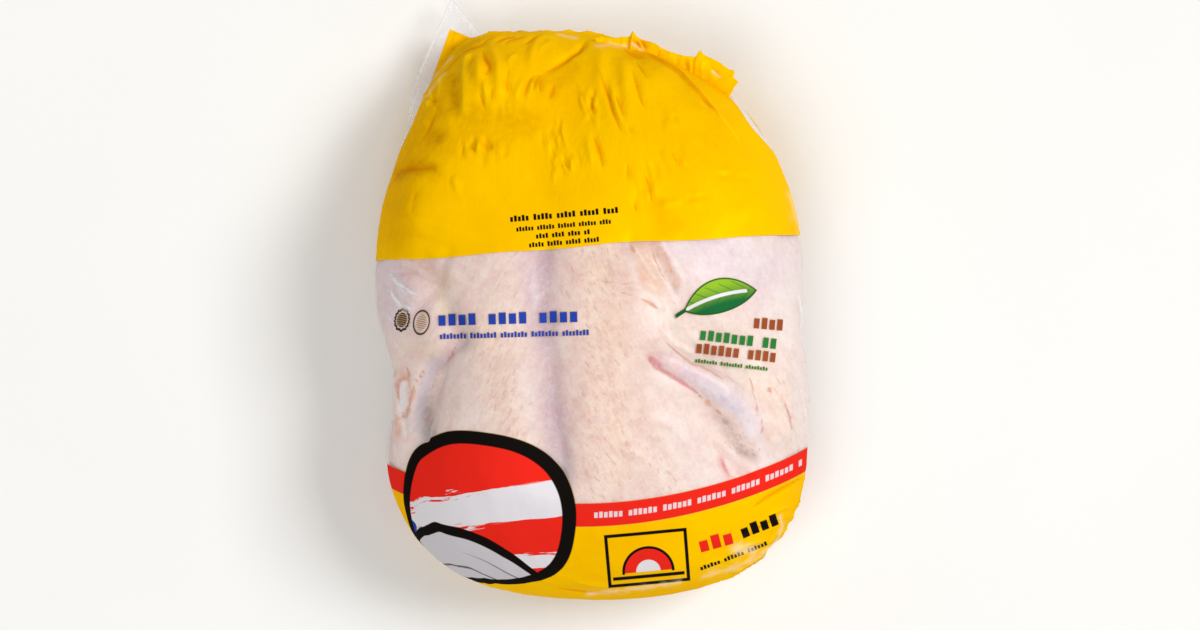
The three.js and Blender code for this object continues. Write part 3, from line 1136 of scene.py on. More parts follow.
@dataclass(frozen=True)
class PrintLayout:
    """Where the bag is printed. Millimetres on the pack's own axes, seen from above."""

    window_y: float = 23.5
    window_slope: float = 0.066
    band_y: float = -89.3
    band_middle: float = -7.0
    band_curve: float = 0.00225
    band_height: float = 10.3
    strip_z: float = 30.0
    strip_half: float = 7.5
    strip_lift: float = 19.0
    strip_lift_y: float = 77.0
    strip_lift_reach: float = 20.0
    strip_drop: Place = (99.0, 18.0, 18.0)
    badge: Place = (-52.0, -94.0)
    badge_turn: float = -7.0
    leaf: Place = (55.6, 1.0)
    leaf_turn: float = 16.0
    seals: Line = ((-84.4, -8.9, 3.6, 5.3), (-75.6, -10.0, 3.8, 5.7))
    seal_turn: float = -12.0
    box: Place = (24.0, -114.0)
    box_turn: float = 5.0
    box_size: Place = (17.5, 11.5)

    def band_edge(self, x: Signal) -> Signal:
        """The edge of the red band towards the tail, which is curved."""
        return (x - self.band_middle) ** 2.0 * self.band_curve + self.band_y


@dataclass(frozen=True)
class FarmBadge:
    """A printed badge: a rounded outline filled with brushed stripes, over a ploughed field. Millimetres."""

    half_width: float = 46.0
    half_height: float = 43.0
    middle: float = -5.0
    bluntness: float = 2.5
    line: float = 5.8
    slant: float = 17.0  # of the stripes, in degrees

    def paint(self, graph: Graph, along: Signal, up: Signal) -> tuple[Signal, Signal]:
        """Print the badge.

        Args:
            graph: the material's graph.
            along: how far each place is to the right of the badge's centre.
            up: how far it is above the centre.

        Returns:
            Where the badge is, and its colour.
        """
        share = (abs(along) / self.half_width) ** self.bluntness
        share = share + (abs(up - self.middle) / self.half_height) ** self.bluntness
        away = (share ** (1.0 / self.bluntness) - 1.0) * self.half_height
        run, rise = turned(along, up, (0.0, 0.0), self.slant)
        brush = graph.noise(graph.joined(run * 0.035, rise * 0.42, 0.0), 1.0, 4.0, 0.65) - 0.5
        dry = (run * -0.03 + 0.5).most(0.12) * 26.0
        first = abs(rise - 2.0 + brush * dry).below(8.6, 0.5)
        second = abs(rise + 31.0 + brush * 12.0).below(4.6, 0.5)
        horizon = up - (along * along * -0.011 - along * 0.3 - 15.0)
        furrow = (horizon * 0.55 + along * 0.02).sine().above(0.93, 0.06) * horizon.below(-9.0, 0.5)
        pond = ((along + 41.0) * (along + 41.0) + (up + 12.0) * (up + 12.0) * 2.4) ** 0.5
        hill = abs(horizon - 2.4).below(2.7, 0.4)
        shade = graph.coats(
            Ink.RED,
            (first.most(second), Ink.CHALK),
            (horizon.below(0.0, 0.4), "#cfc9cd"),
            (furrow, Ink.GREY),
            (pond.below(5.0, 0.4), Ink.BLUE),
            (away.above(-self.line, 0.4).most(hill), Ink.BLACK),
        )
        return away.below(0.0, 0.4), shade


Inked = tuple[Signal, Paint]  # where a thing is printed, and its colour


class Print:
    """What is printed on the film round the bird, in a material's graph."""

    def __init__(self, graph: Graph, layout: PrintLayout, at: Signal) -> None:
        """Start on a graph.

        Args:
            graph: the graph.
            layout: where things are printed.
            at: places in millimetres on the pack's own axes.
        """
        self.graph = graph
        self.layout = layout
        self.x, self.y, self.z = graph.axes(at)

    def bands(self) -> tuple[Signal, Signal, Signal]:
        """Find the large printed areas.

        Returns:
            Where the yellow towards the tail, the red band, and the yellow towards the neck are.
        """
        lay, x, y = self.layout, self.x, self.y
        wave = ((x * 0.11).sine() + (x * 0.047 + 1.0).sine() * 1.4) * 0.35
        tail = (y - wave - x * lay.window_slope).above(lay.window_y, 0.35)
        under = lay.band_edge(x) - y
        band = under.above(0.0, 0.35) * under.below(lay.band_height, 0.35)
        return tail, band, under.above(lay.band_height, 0.35)

    def strip(self) -> Signal:
        """Find the clear strip along the pack's sides, which climbs the tail's flanks and then drops.

        Returns:
            Where it is.
        """
        lay, x, y = self.layout, self.x, self.y
        lift = (y - lay.strip_lift_y) / lay.strip_lift_reach
        lift = (x.above(0.0, 60.0) * 0.45 + 0.55) * lay.strip_lift / (1.0 + lift * lift) ** 2.0
        drop_y, drop_reach, drop = lay.strip_drop
        lift = lift - y.above(drop_y, drop_reach) * drop
        return abs(self.z - lay.strip_z - lift).below(lay.strip_half, 0.5)

    def badge(self, centre: Place) -> Inked:
        """Print the farm badge, whose centre is given on the unrolled film."""
        across, along, _ = self.graph.axes(self.graph.attribute("unrolled", "Vector"))
        return FarmBadge().paint(self.graph, *turned(across, along, centre, self.layout.badge_turn))

    def box(self) -> Inked:
        """Print a small outlined box with a half disc in it.

        Returns:
            Its mask and colour.
        """
        lay = self.layout
        along, across = turned(self.x, self.y, lay.box, lay.box_turn)
        edge = (abs(along) - lay.box_size[0]).most(abs(across) - lay.box_size[1])
        outline = abs(edge).below(0.75, 0.25)
        inside = edge.below(-1.6, 0.2)
        disc = (along * along + (across + 6.0) * (across + 6.0)) ** 0.5
        half = disc.below(11.0, 0.3) * across.above(-6.0, 0.3) * inside
        base = across.below(-7.4, 0.3) * across.above(-9.0, 0.3) * inside
        rim = (abs(disc - 11.0).below(0.6, 0.25) * across.above(-6.6, 0.3) * inside).most(base)
        core = disc.below(5.4, 0.3) * half
        coats = ((half, Ink.RED), (core, Ink.CHALK), (outline.most(rim), Ink.BLACK))
        return outline.most(half).most(rim), self.graph.coats(Ink.BLACK, *coats)

    def seal(self, seal: Place, scalloped: bool) -> Inked:
        """Print a small upright oval stamp.

        Args:
            seal: where its middle is, and half its width and height.
            scalloped: whether it has a scalloped edge round a dark disc, or a plain edge round some lines.

        Returns:
            Its mask and colour.
        """
        across, up = turned(self.x, self.y, seal[:2], self.layout.seal_turn)
        away = ((across / seal[2]) ** 2.0 + (up / seal[3]) ** 2.0) ** 0.5
        lines = abs((up * 3.3).sine()).above(0.75, 0.2) * away.below(0.62, 0.06)
        if not scalloped:
            return abs(away - 0.92).below(0.075, 0.04).most(lines * 0.7), "#46332c"
        angle = up.math("ARCTAN2", up, across)
        rim = abs(away - 0.88 + (angle * 14.0).sine() * 0.05).below(0.1, 0.04)
        return rim.most(away.below(0.62, 0.05) * (1.0 - lines * 0.5)), "#2b2430"

    def leaf(self) -> Inked:
        """Print a plain pointed leaf with a pale midrib.

        Returns:
            Its mask and colour.
        """
        along, across = turned(self.x, self.y, self.layout.leaf, self.layout.leaf_turn)
        across = across + along * along * 0.008 - 0.8
        rounds = [along * along + (across + side * 15.0) ** 2.0 for side in (-1.0, 1.0)]
        edge = rounds[0].most(rounds[1]) ** 0.5 - 22.6
        stem = abs(across).below(0.9, 0.3) * along.below(-15.0, 0.4) * along.above(-21.0, 0.4)
        rib = abs(across).below(0.75, 0.3) * along.below(12.5, 0.5)
        vein = (abs(across) * 1.3 + along * 1.05).sine().above(0.9, 0.12) * abs(across).below(5.2, 0.4)
        shade = self.graph.coats(
            "#1f6b38",
            ((across * 0.11 + 0.45).above(0.5, 0.9), "#8fb82c"),
            (vein * 0.5, "#1f6b38"),
            (rib * edge.below(-0.8, 0.3), Ink.CHALK),
            (edge.above(-0.7, 0.3), "#1b5c30"),
        )
        return edge.below(0.0, 0.3).most(stem), shade

    def cover(self, yellow: Signal, badge: Place) -> tuple[Signal, Signal, Signal]:
        """Print the whole film.

        Args:
            yellow: the yellow ink, which the rest is printed over.
            badge: where the badge's centre is on the unrolled film.

        Returns:
            The print's colour, where the film is printed, and how milky it is where it isn't.
        """
        lay, x, y, z = self.layout, self.x, self.y, self.z
        tail, band, neck = self.bands()
        strip = self.strip()
        under = z.below(12.0, 0.5) * abs(x).below(64.0, 0.5)
        top = z.above(40.0, 1.0)
        upper = z.above(14.0, 0.5)
        dashes = BAND_BAR.mask(x, y - lay.band_edge(x) + lay.band_height / 2)
        prints = [(bar.mask(x, y) * top, bar.ink) for bar in (*CAPTION_BARS, *NECK_BARS, *WINDOW_BARS)]
        seals = [self.seal(seal, scalloped) for seal, scalloped in zip(lay.seals, (True, False))]
        prints += [(mask * top, tint) for mask, tint in seals]
        prints += [(mask * upper, tint) for mask, tint in (self.leaf(), self.box(), self.badge(badge))]
        shade = self.graph.coats(
            yellow, (band * (1.0 - strip), Ink.RED), (dashes * top * 0.85, Ink.CHALK), *prints
        )
        opaque = (tail.most(neck).most(band) * (1.0 - strip)).most(under)
        for mask, _ in prints:
            opaque = opaque.most(mask)
        return shade, opaque, strip * tail.most(neck) * 0.55


@dataclass(frozen=True)
class Film:
    """Glossy polythene: opaque where it is printed and clear elsewhere."""

    layout: PrintLayout
    shift: Place
    gloss: float = 0.42
    clear_gloss: float = 0.2
    crinkle: float = 0.00022
    foil: float = 0.05  # tints the highlights with the ink's own colour

    def body(self, badge: Place) -> bpy.types.Material:
        """Make the finish of the film round the bird.

        Args:
            badge: where the badge's centre is on the unrolled film.

        Returns:
            The material.
        """
        graph = Finish("poultry_bag_film")
        at = graph.place(self.shift)
        shade, opaque, milky = Print(graph, self.layout, at).cover(self._yellow(graph, at), badge)
        return self._shader(graph, at, shade, opaque, milky)

    def corner(self, edges: Sequence[tuple[Place, Place]]) -> bpy.types.Material:
        """Make the finish of a loose sheet, printed on one side of each of some straight edges.

        Args:
            edges: the start and end of each edge. The print is on the right of it.

        Returns:
            The material.
        """
        graph = Finish("poultry_bag_loose_film")
        at = graph.place(self.shift)
        x, y, _ = graph.axes(at)
        opaque: Operand = 1.0
        for (x0, y0), (x1, y1) in edges:
            side = ((x - x0) * (y1 - y0) - (y - y0) * (x1 - x0)) / math.hypot(x1 - x0, y1 - y0)
            opaque = side.above(0.0, 0.4) * opaque
        return self._shader(graph, at, self._yellow(graph, at), opaque)

    def _yellow(self, graph: Graph, at: Signal) -> Signal:
        """Mix the yellow ink, a little uneven, with painted shade on the dark side, in hollows and along
        valleys, and painted highlights on ridges.

        Args:
            graph: the material's graph.
            at: places in millimetres.

        Returns:
            The colour.
        """
        return graph.coats(
            Ink.YELLOW,
            (graph.noise(at, 0.018, 2.0, 0.5).above(0.62, 0.5) * 0.5, "#f3a800"),
            # painted shade: the yellow darkened where the film faces away from the light and in hollows
            (graph.attribute("painted_shade") * (graph.noise(at, 0.3, 3.0, 0.6) * 1.8 + 0.1), "#c07c00"),
            # painted highlight: lighter yellow along tight ridges
            (graph.attribute("ridges").below(1.0, 1.2) * 0.5, "#ffd400"),
            # painted shade: orange lines along tight valleys
            (graph.attribute("valleys").below(1.0, 1.2) * 0.6, "#e68800"),
        )

    def _shader(
        self, graph: Finish, at: Signal, shade: Signal, opaque: Operand, milky: Operand = 0.0
    ) -> bpy.types.Material:
        """Finish a film: print over clear polythene, with a fine crinkle.

        Args:
            graph: the material's graph.
            at: places in millimetres.
            shade: the print's colour.
            opaque: 1 where the film is printed.
            milky: how much less clear the unprinted film is than elsewhere.

        Returns:
            The material.
        """
        milk_and_glare = graph.attribute("milk_and_glare")
        fine = graph.noise(at, 0.16, 3.0, 0.55)
        drawn_out = graph.vector_math("MULTIPLY", at, (0.3, 0.07, 0.3))
        pleat = graph.noise(drawn_out, 1.0, 3.0, 0.6) * graph.attribute("slack")
        printed = graph.principled(
            {
                # painted glare and milky bare film whiten the print
                "Base Color": graph.mix(milk_and_glare, shade, "#fff1d6"),
                "Roughness": graph.noise(at, 0.05, 3.0, 0.6) * 0.2 + (self.gloss - 0.1),
                "Metallic": self.foil,
                "Specular IOR Level": 0.0,
                "Normal": graph.bump(fine * 0.3 + pleat * 0.9, self.crinkle * 4.0, 0.6),
            }
        )
        gloss = graph.principled(
            {
                "Base Color": (0.96, 0.95, 0.96, 1.0),
                "Roughness": self.clear_gloss,
                "IOR": 1.5,
                "Specular IOR Level": 0.5,
                "Normal": graph.bump(fine, self.crinkle * 1.4, 0.5),
            }
        )
        through = graph.node("ShaderNodeBsdfTransparent", {}, {"Color": (0.985, 0.98, 0.985, 1.0)})
        facing = graph.node("ShaderNodeLayerWeight", {}, {"Blend": 0.3}, "Facing")
        # The veil is the clear film's glossy share: Fresnel, the strip's milkiness, haze, and painted glare
        # and glints on crumples and tight ridges.
        veil = facing * 0.16 + 0.055 + graph.attribute("haze_and_glint") * 0.5 + milky + milk_and_glare * 0.8
        # painted glints: the clear film whiter along tight ridges
        veil = veil + graph.attribute("ridges").below(1.0, 1.6) * 0.2
        clear = graph.node("ShaderNodeMixShader", {}, {0: veil, 1: through, 2: gloss})
        return graph.surface(graph.node("ShaderNodeMixShader", {}, {0: opaque, 1: clear, 2: printed}))


# ---- the bird


@dataclass(frozen=True)
class Stain:
    """A patch of another colour on the skin, along a line across the breast side, or of painted shade or
    glare on the film. Millimetres.
    """

    path: Line
    reach: float
    strength: float
    tint: str = ""
    edge: float = 2.0  # a larger exponent gives a flatter patch with a crisper edge
    ragged: float = 0.35

    def cover(self, points: Array, rough: Array) -> Array:
        """How far the patch covers each point, where noise frays its edge."""
        reach = np.maximum(self.reach * (1.0 + self.ragged * rough), 0.3)
        return self.strength * np.exp(-((distance_to_path(points[:, :2], self.path)[0] / reach) ** self.edge))


SKIN_STAINS = each(
    Stain,
    ("-30,60 -16,24", 26, 0.7, "#e7cabd"),
    ("-92,14 -80,-2 -72,-8", 15, 0.75, "#e6c9cb"),
    ("-52,20 -50,-10 -46,-60", 22, 0.6, "#ebd0c2"),
    ("-34,20 -32,-10", 9, 0.6, "#efd9cf"),
    ("-46,-20 -38,-44 -30,-66", 12, 0.5, "#eecab4"),
    ("-56,-34 -52,-60", 12, 0.6, "#ecd8cc"),
    ("-31,-30 -27,-60", 4.5, 0.6, "#efe0dd"),
    ("10,20 14,-20 12,-66", 15, 0.75, "#e4bba3"),
    ("30,-6 36,-14", 10, 0.6, "#f5e4d9"),
    ("24,-46 46,-76", 19, 0.7, "#f5e4da"),
    ("-22,30 -23,0 -20,-36 -16,-60 -14,-80", 6.5, 0.9, "#b390a0", 2, 0.2),
    ("-30,24 -26,4", 6, 0.5, "#d2b8c2", 2, 0.3),
    ("-8,24 -8,0 -6,-40 -2,-80", 6, 0.5, "#e2bdb0"),
    ("46,30 70,10 96,0", 24, 0.95, "#ecdde0", 2, 0.15),
    ("56,24 74,10", 12, 0.5, "#e2d0da", 2, 0.4),
    ("84,0 92,-30 92,-70", 10, 0.8, "#f5e5dd"),
    ("60,-8 74,-26", 12, 0.8, "#f6e4d4"),
    ("-92,17 -91,0 -92,-14", 6, 0.75, "#dcc4d0", 2, 0.3),
    ("-79,15 -67,9", 4.5, 0.6, "#d3a78f", 2, 0.5),
    ("-64.5,6 -64.5,-5", 2.4, 0.7, "#f1e0cf", 2, 0.4),
    ("75,-38 81,-54", 8, 0.7, "#f9e3cf", 2, 0.5),
    ("20,25 23,16 25,9 28,6", 4.2, 0.95, "#e9b992", 6, 0.12),
    ("27,25.5 30,19 33,13.5 36,7.5", 2.7, 0.95, "#d9a489", 5, 0.15),
    ("34.8,8 36.6,3.6", 1.2, 0.6, "#c09a8c", 2, 0.3),
    ("28,17 31,10.5 33.5,5.5", 1.5, 0.85, "#f5e0d0", 3, 0.3),
    ("18.4,22.8 21,18.8 24.2,13.8 27.2,9.4", 0.7, 0.7, "#f8e4d2", 2, 0.1),
    ("20,13.4 22.8,8.4", 1.2, 0.5, "#e6a880", 2, 0.3),
    ("21,-58.5 25.5,-61 30,-65 36.5,-73", 1.9, 0.55, "#dfb9ac", 2, 0.3),
    ("26,-25 30,-25 34,-26.5 37.5,-28.5", 2.2, 0.8, "#e9ada3", 3, 0.3),
    ("32.5,-25.5 39,-29.5 43.5,-31.5", 2.4, 0.6, "#eccbcc", 3, 0.3),
    ("28,-27.5 33.5,-31 39,-34", 1.7, 0.55, "#e2a6a6", 3, 0.3),
    ("25,-25.6 26.8,-27 29.4,-28.8", 1.3, 0.9, "#d4707a", 3, 0.2),
    ("31.8,-25 35.2,-26.8 39.8,-29.4", 0.9, 0.35, "#f4dcd6", 2, 0.3),
    ("40.5,-31.5 45,-34 49,-36", 2.5, 0.75, "#d8bfd2", 2, 0.3),
    ("51,-38 58,-42 64,-46 70,-56", 4.2, 0.8, "#e4dbe6", 4, 0.15),
    ("56.8,-42.6 58,-43.8", 1.3, 0.75, "#b9adc0", 2, 0.3),
    ("60.5,-46.5 64,-49", 1.9, 0.7, "#c8c6d8", 2, 0.3),
    ("68.5,-51.5 73,-62.5 76,-71.5", 3, 0.7, "#f8ecee", 2, 0.3),
    # brownish quilled skin under the +X hand, darkened by painted shade in the crease below the wing
    ("54.5,-51 58.5,-54", 1.7, 0.8, "#d3b4a8", 3, 0.3),
    ("59.5,-56 62,-60.5 65,-65.5 70,-69", 3.2, 0.85, "#cdb0a5", 4, 0.3),
    ("57.6,-53.2 58.4,-54.2", 1.1, 0.7, "#9f847a", 2, 0.3),
    ("64.5,-66.5 67.5,-68.5", 1.7, 0.8, "#a1857d", 2, 0.3),
    ("70.2,-68.4 71,-69.6", 1, 0.6, "#a68a84", 2, 0.3),
    ("56,-69 57.5,-73.5 60,-77.5", 1.8, 0.85, "#ec9a97", 3, 0.3),
    ("59.5,-71 63,-76", 1.8, 0.65, "#f4bcb6", 2, 0.3),
    ("64,-73 67.5,-75", 2, 0.55, "#efb4b0", 2, 0.3),
    ("-84,-20 -75,-22 -70,-20", 5.5, 0.7, "#f4d8bd", 2, 0.3),
    ("-63,-20 -65,-23.5", 2.6, 0.6, "#dfbcb8", 2, 0.3),
    ("-59,-18 -60.5,-21.5 -62,-24.5 -64.5,-27.5 -67,-30", 1.6, 0.8, "#cb9ca4", 3, 0.2),
    ("-69.5,-27 -66,-27.5", 2.2, 0.8, "#cfbdd0", 2, 0.3),
    ("-71,-30 -73,-34 -74.5,-39.5 -75.5,-44", 2.6, 0.9, "#cdc1d2", 4, 0.15),
    # grey-lavender skin down the crease between the -X breast and wing, deepened by painted shade
    ("-75,-43 -76.5,-48 -77.5,-57", 2.1, 0.85, "#b5b4c3", 3, 0.3),
    ("-80.5,-48 -81.5,-58", 2.2, 0.85, "#dfd3d2", 2, 0.3),
    # painted shade at the bottom end of the same crease, darker towards its end
    ("-72.5,-45.5 -73,-52", 2, 0.85, "#bda59f", 3, 0.1),
    ("-73,-50 -73.5,-59.5", 2.7, 0.9, "#96807c", 3, 0.1),
    ("-72.2,-54 -71.8,-59.4", 1.3, 0.9, "#5c4142", 2, 0.3),
    ("-80.5,-33.5 -78,-31.5 -75.5,-28.5", 2, 0.9, "#f5e6d8", 2, 0.3),
    ("-87,-34 -82.5,-33", 2, 0.85, "#e0ac8b", 2, 0.3),
    ("-89,-39.5 -89.5,-59", 2.6, 0.8, "#f6d3b2", 2, 0.3),
    ("-84.5,-36 -85,-41 -84,-45.5 -84.5,-48.5", 2.1, 1, "#f8f1f1", 4, 0.12),
    ("-85.6,-49.2 -85.6,-51.4", 1.3, 0.95, "#f8f0ee", 3, 0.12),
    ("-86,-53 -86.5,-55.5 -86,-59", 1.5, 0.9, "#d99a74", 3, 0.3),
    # painted highlight on the -X wing's tendon
    ("-84,-54 -83.4,-59.4", 1, 0.95, "#fdf3ea", 3, 0.12),
    ("73,-39.5 77,-44.5 79.5,-50", 1.6, 0.5, "#f3c29d", 2, 0.6),
    ("66,-35 69,-41 69.5,-45.5", 1.5, 0.45, "#f1c8a8", 2, 0.6),
    ("79.5,-57 77,-65", 1.5, 0.4, "#f3ccb0", 2, 0.6),
    ("82,-42.5 85,-53.5 85.5,-67", 1.6, 0.4, "#f4cdb4", 2, 0.6),
    ("-66.5,10 -65.5,3 -66.5,-6", 3.2, 0.85, "#fde4c4", 2, 0.3),
    ("-76,15 -69,11 -64.5,8.5", 3, 0.5, "#d3a489", 2, 0.5),
    ("-63.5,7.5 -62.5,6.5", 1.6, 0.5, "#f1c08e", 2, 0.5),
    ("-84.5,11.5 -75.5,11.6", 0.8, 0.45, "#d9a2a6", 2, 0.5),
    ("-89.5,10 -84.5,4.5 -78,-1.5", 3.2, 0.45, "#ecdfe8", 2, 0.5),
    ("-84,23.5 -75,19.5 -67,15", 2, 0.35, "#cfa79c", 2, 0.5),
    ("-73,22.5 -63,19 -56,13.5", 1.6, 0.35, "#dcb7a4", 2, 0.5),
    ("-3,24.5 -0.5,17 1.5,9", 6, 0.35, "#f0d3bb", 2, 0.5),
    ("-41.5,0 -32.5,-18 -23.5,-31.5", 7, 0.35, "#efd7c2", 2, 0.5),
    ("10,-13.5 12,-35.5 21,-53.5", 10, 0.5, "#e9c0a9", 2, 0.4),
    ("26,3 33,-5 38,-13 47,-20", 5, 0.5, "#fbe8d2", 2, 0.3),
    ("64,-33 78,-40 86,-52", 6, 0.4, "#fbe6cf", 2, 0.3),
)

# Where the printed yellow is painted deeper as shade: on the -X side away from the light, in hollows, at the
# tuck and along the ear's lip.
FILM_PAINTED_SHADE = each(
    Stain,
    ("-87,29 -86,49 -81,67 -73,85 -62,102", 9, 0.25),
    ("-61,98 -61,91 -61.5,85", 3.4, 0.3),
    ("-71,72 -67.5,73", 3.2, 0.35),
    ("-51,80 -29,78", 8, 0.3),
    ("-20,97 -9,104", 6, 0.17),
    ("-86,56.5 -77,59 -70,58", 3, 0.4),
    ("-60,112 -52,115", 5, 0.25),
    ("19,114 23.5,113.5", 3, 0.25),
    ("-68,67 -42,67", 5, 0.17),
    ("16,108 28,104", 4, 0.2),
    ("43,92 55,78", 7, 0.12),
    ("28,42 32,31 37,33", 4.5, 0.2),
)

# Where the printed film looks milky: partly a bare ply lying over it, partly painted glare where the light
# catches crumples and edges.
FILM_GLARE = each(
    partial(Stain, ragged=0.9),
    ("64.5,-110.5 67.5,-110 70,-111.5", 2.2, 0.45),
    ("83,-95.6 84,-100 82.2,-107.2 78.2,-111.2", 0.7, 0.45),
    ("49.6,-122.8 61.2,-119.6 71,-116 76.4,-112.6", 1.2, 0.3),
    ("-1.4,-130.8 12,-129 25.4,-127.2 38.8,-125.4", 1, 0.41),
    ("-63,109 -68.4,103.6 -73.6,97.4 -78.2,91.6", 0.5, 0.38),
    ("-65.6,101.8 -70.2,96.4 -75.4,89.2", 0.6, 0.26),
    ("17.4,114.4 21,112", 0.8, 0.38),
    ("53.6,101.8 56.2,99.6", 0.8, 0.3),
    ("1.4,113 7.6,113.8 14.8,113", 0.7, 0.26),
    ("-15.2,118.4 -11.6,117.8 -7.2,117", 0.8, 0.3),
    ("88.5,47 91,38 93,30.5", 1.8, 0.26),
    ("-78.6,94.6 -80.4,89.2 -81.8,82.6", 0.9, 0.34),
    ("-88.9,10.3 -86.2,7.6 -83,3.1 -79.5,2.7", 1.4, 0.5),
    ("-88.9,2.7 -86.6,-0.4 -83.9,-2.7 -80.8,-4", 1.3, 0.48),
    ("-84.8,17 -78.6,14.7 -73.2,11.2 -67,8.5", 1.3, 0.24),
)


def film_shades(points: Array) -> dict[str, Array]:
    """Work out the painted shade on a film's print, and how milky it is with painted glare.

    Args:
        points: points of the film.

    Returns:
        The two shades at each point, from 0 to 1, by name.
    """
    rough = GradientNoise(23)(points / 5.0) + 0.5 * GradientNoise(24)(points / 2.0)
    sets = {"painted_shade": FILM_PAINTED_SHADE, "milk_and_glare": FILM_GLARE}
    shades = {key: sum(tone.cover(points, rough) for tone in tones) for key, tones in sets.items()}
    return {key: np.clip(shade, 0.0, 1.0) for key, shade in shades.items()}


class Mark(str, Enum):
    """The screen colours of the thin marks on the skin."""

    AMBER = "#d88d62"
    ROSE = "#d5777a"
    BROWN = "#bf9e92"

    @property
    def layer(self) -> str:
        """The name under which the skin's mesh keeps how far its points lie from the marks."""
        return self.name.lower()


@dataclass(frozen=True)
class SkinLine:
    """A thin mark along a line across the breast side. Millimetres."""

    path: Line
    half_width: float
    tip: float = 0.35  # the width at its ends, as a share of the width in the middle

    def away(self, flat: Array) -> Array:
        """How far places seen from above lie from the mark, in half widths of it."""
        away, along = distance_to_path(flat, self.path)
        return away / (self.half_width * (self.tip + (1.0 - self.tip) * np.sin(math.pi * along)))


SKIN_LINES = {
    Mark.AMBER: each(
        SkinLine,
        ("-73.8,-29.8 -75,-32 -76.4,-34.2 -78,-35.8", 0.9),
        ("-78.8,-37.6 -79.6,-39.4 -80,-42.4 -80.6,-44.6 -81.4,-46.8", 1.3),
        ("-81.4,-46.8 -82,-50 -82.6,-52.6", 0.9),
        (
            "-82.6,-29.8 -81.8,-31.8 -81.2,-33.4 -82.2,-34.6 -84.4,-35 -86.2,-36 -86.8,-38 -86.4,-41"
            " -86.2,-44.6",
            1,
        ),
        ("-81.8,-34 -81.4,-39.2", 0.6),
        ("-84,-48.6 -84.4,-50.4 -84,-52.2", 0.7),
        ("46.4,-41.8 47.6,-42.6", 1.1),
        ("49.2,-43.8 51,-46 51.8,-46.6", 1.3),
        ("51.8,-46.6 54,-48.4 57.6,-51", 0.7),
        ("31.8,-18.4 34.4,-21 38.4,-24.2 40.2,-25.8 43.4,-28.2 47.8,-29.4 52.2,-31.8 57.6,-35.2", 0.6),
        ("0.8,9 6.4,7.6 12,7.2 17.6,6.2", 0.3),
        ("8,5 12,3.4 17,1.8 21,0.6", 0.3),
        ("21,0.6 24.6,-1.4 28.6,-4", 0.8),
        ("68.8,-33.4 70.2,-39.2 71.4,-44.6", 0.5),
        ("71.8,-45.6 72.4,-50.4", 0.6),
        ("74.2,-52.2 74.6,-57.2 73.6,-60.2", 0.6),
        ("77.2,-38.4 78.2,-40.6", 1.2),
        ("72.8,-65.4 73.2,-66.6", 1),
        ("16.2,24.2 18.4,20.6", 0.9),
        ("24.2,25.4 27,18 30,11.4 33.2,6.4", 0.4),
        ("29.4,24.5 32,19 34.2,13 36.4,5", 0.35),
    ),
    Mark.ROSE: each(
        SkinLine,
        ("84,-44 87,-52 88,-58", 0.6),
        ("24.2,-25.4 25,-27.2 27.2,-29.4 30.4,-31 34.4,-33.2 38.8,-36 42.4,-38.4 46,-41", 1.1),
        ("25,-25 27,-27 29.5,-29", 1.4),
        ("-58.6,-17.4 -60.2,-20 -61.2,-22.2 -61.8,-24.6 -64.8,-28 -67.2,-30.2", 0.6),
        ("56.2,-69.2 58,-74.2 59.8,-77.6", 0.8),
    ),
    Mark.BROWN: each(
        SkinLine,
        ("-77.6,-35 -78.4,-36.4", 1.1),
        ("-67.8,-30.8 -69.2,-34.4 -70.8,-38.4 -71.6,-41.6", 0.6),
        ("-71.6,-42 -72,-44.6", 0.9),
        ("-71.4,-49.2 -71.2,-59", 0.9),
        ("56.8,-52.6 58,-54", 0.7),
        ("59,-52.6 59.4,-55", 0.7),
        ("60.8,-56.2 61.6,-58", 0.7),
        ("62,-59.4 63,-61.6", 0.7),
        ("64.8,-62.6 66,-65.2", 0.7),
        ("63.8,-66 65.6,-67.8", 0.7),
        ("66.6,-66.6 68.4,-68.8", 0.7),
        ("70.6,-67 71.4,-69.2", 0.7),
        ("-72.8,-46.4 -73.2,-48.6", 0.7),
        ("-74.2,-50 -73.6,-52.6", 0.7),
        ("-72.8,-53.6 -73.2,-56.8", 0.7),
    ),
}

KEEL_X = -19.0  # millimetres: the middle of the breast
LIE = (0.5, 0.86)  # the way the feather tracts run on each side: towards the keel, and towards the tail


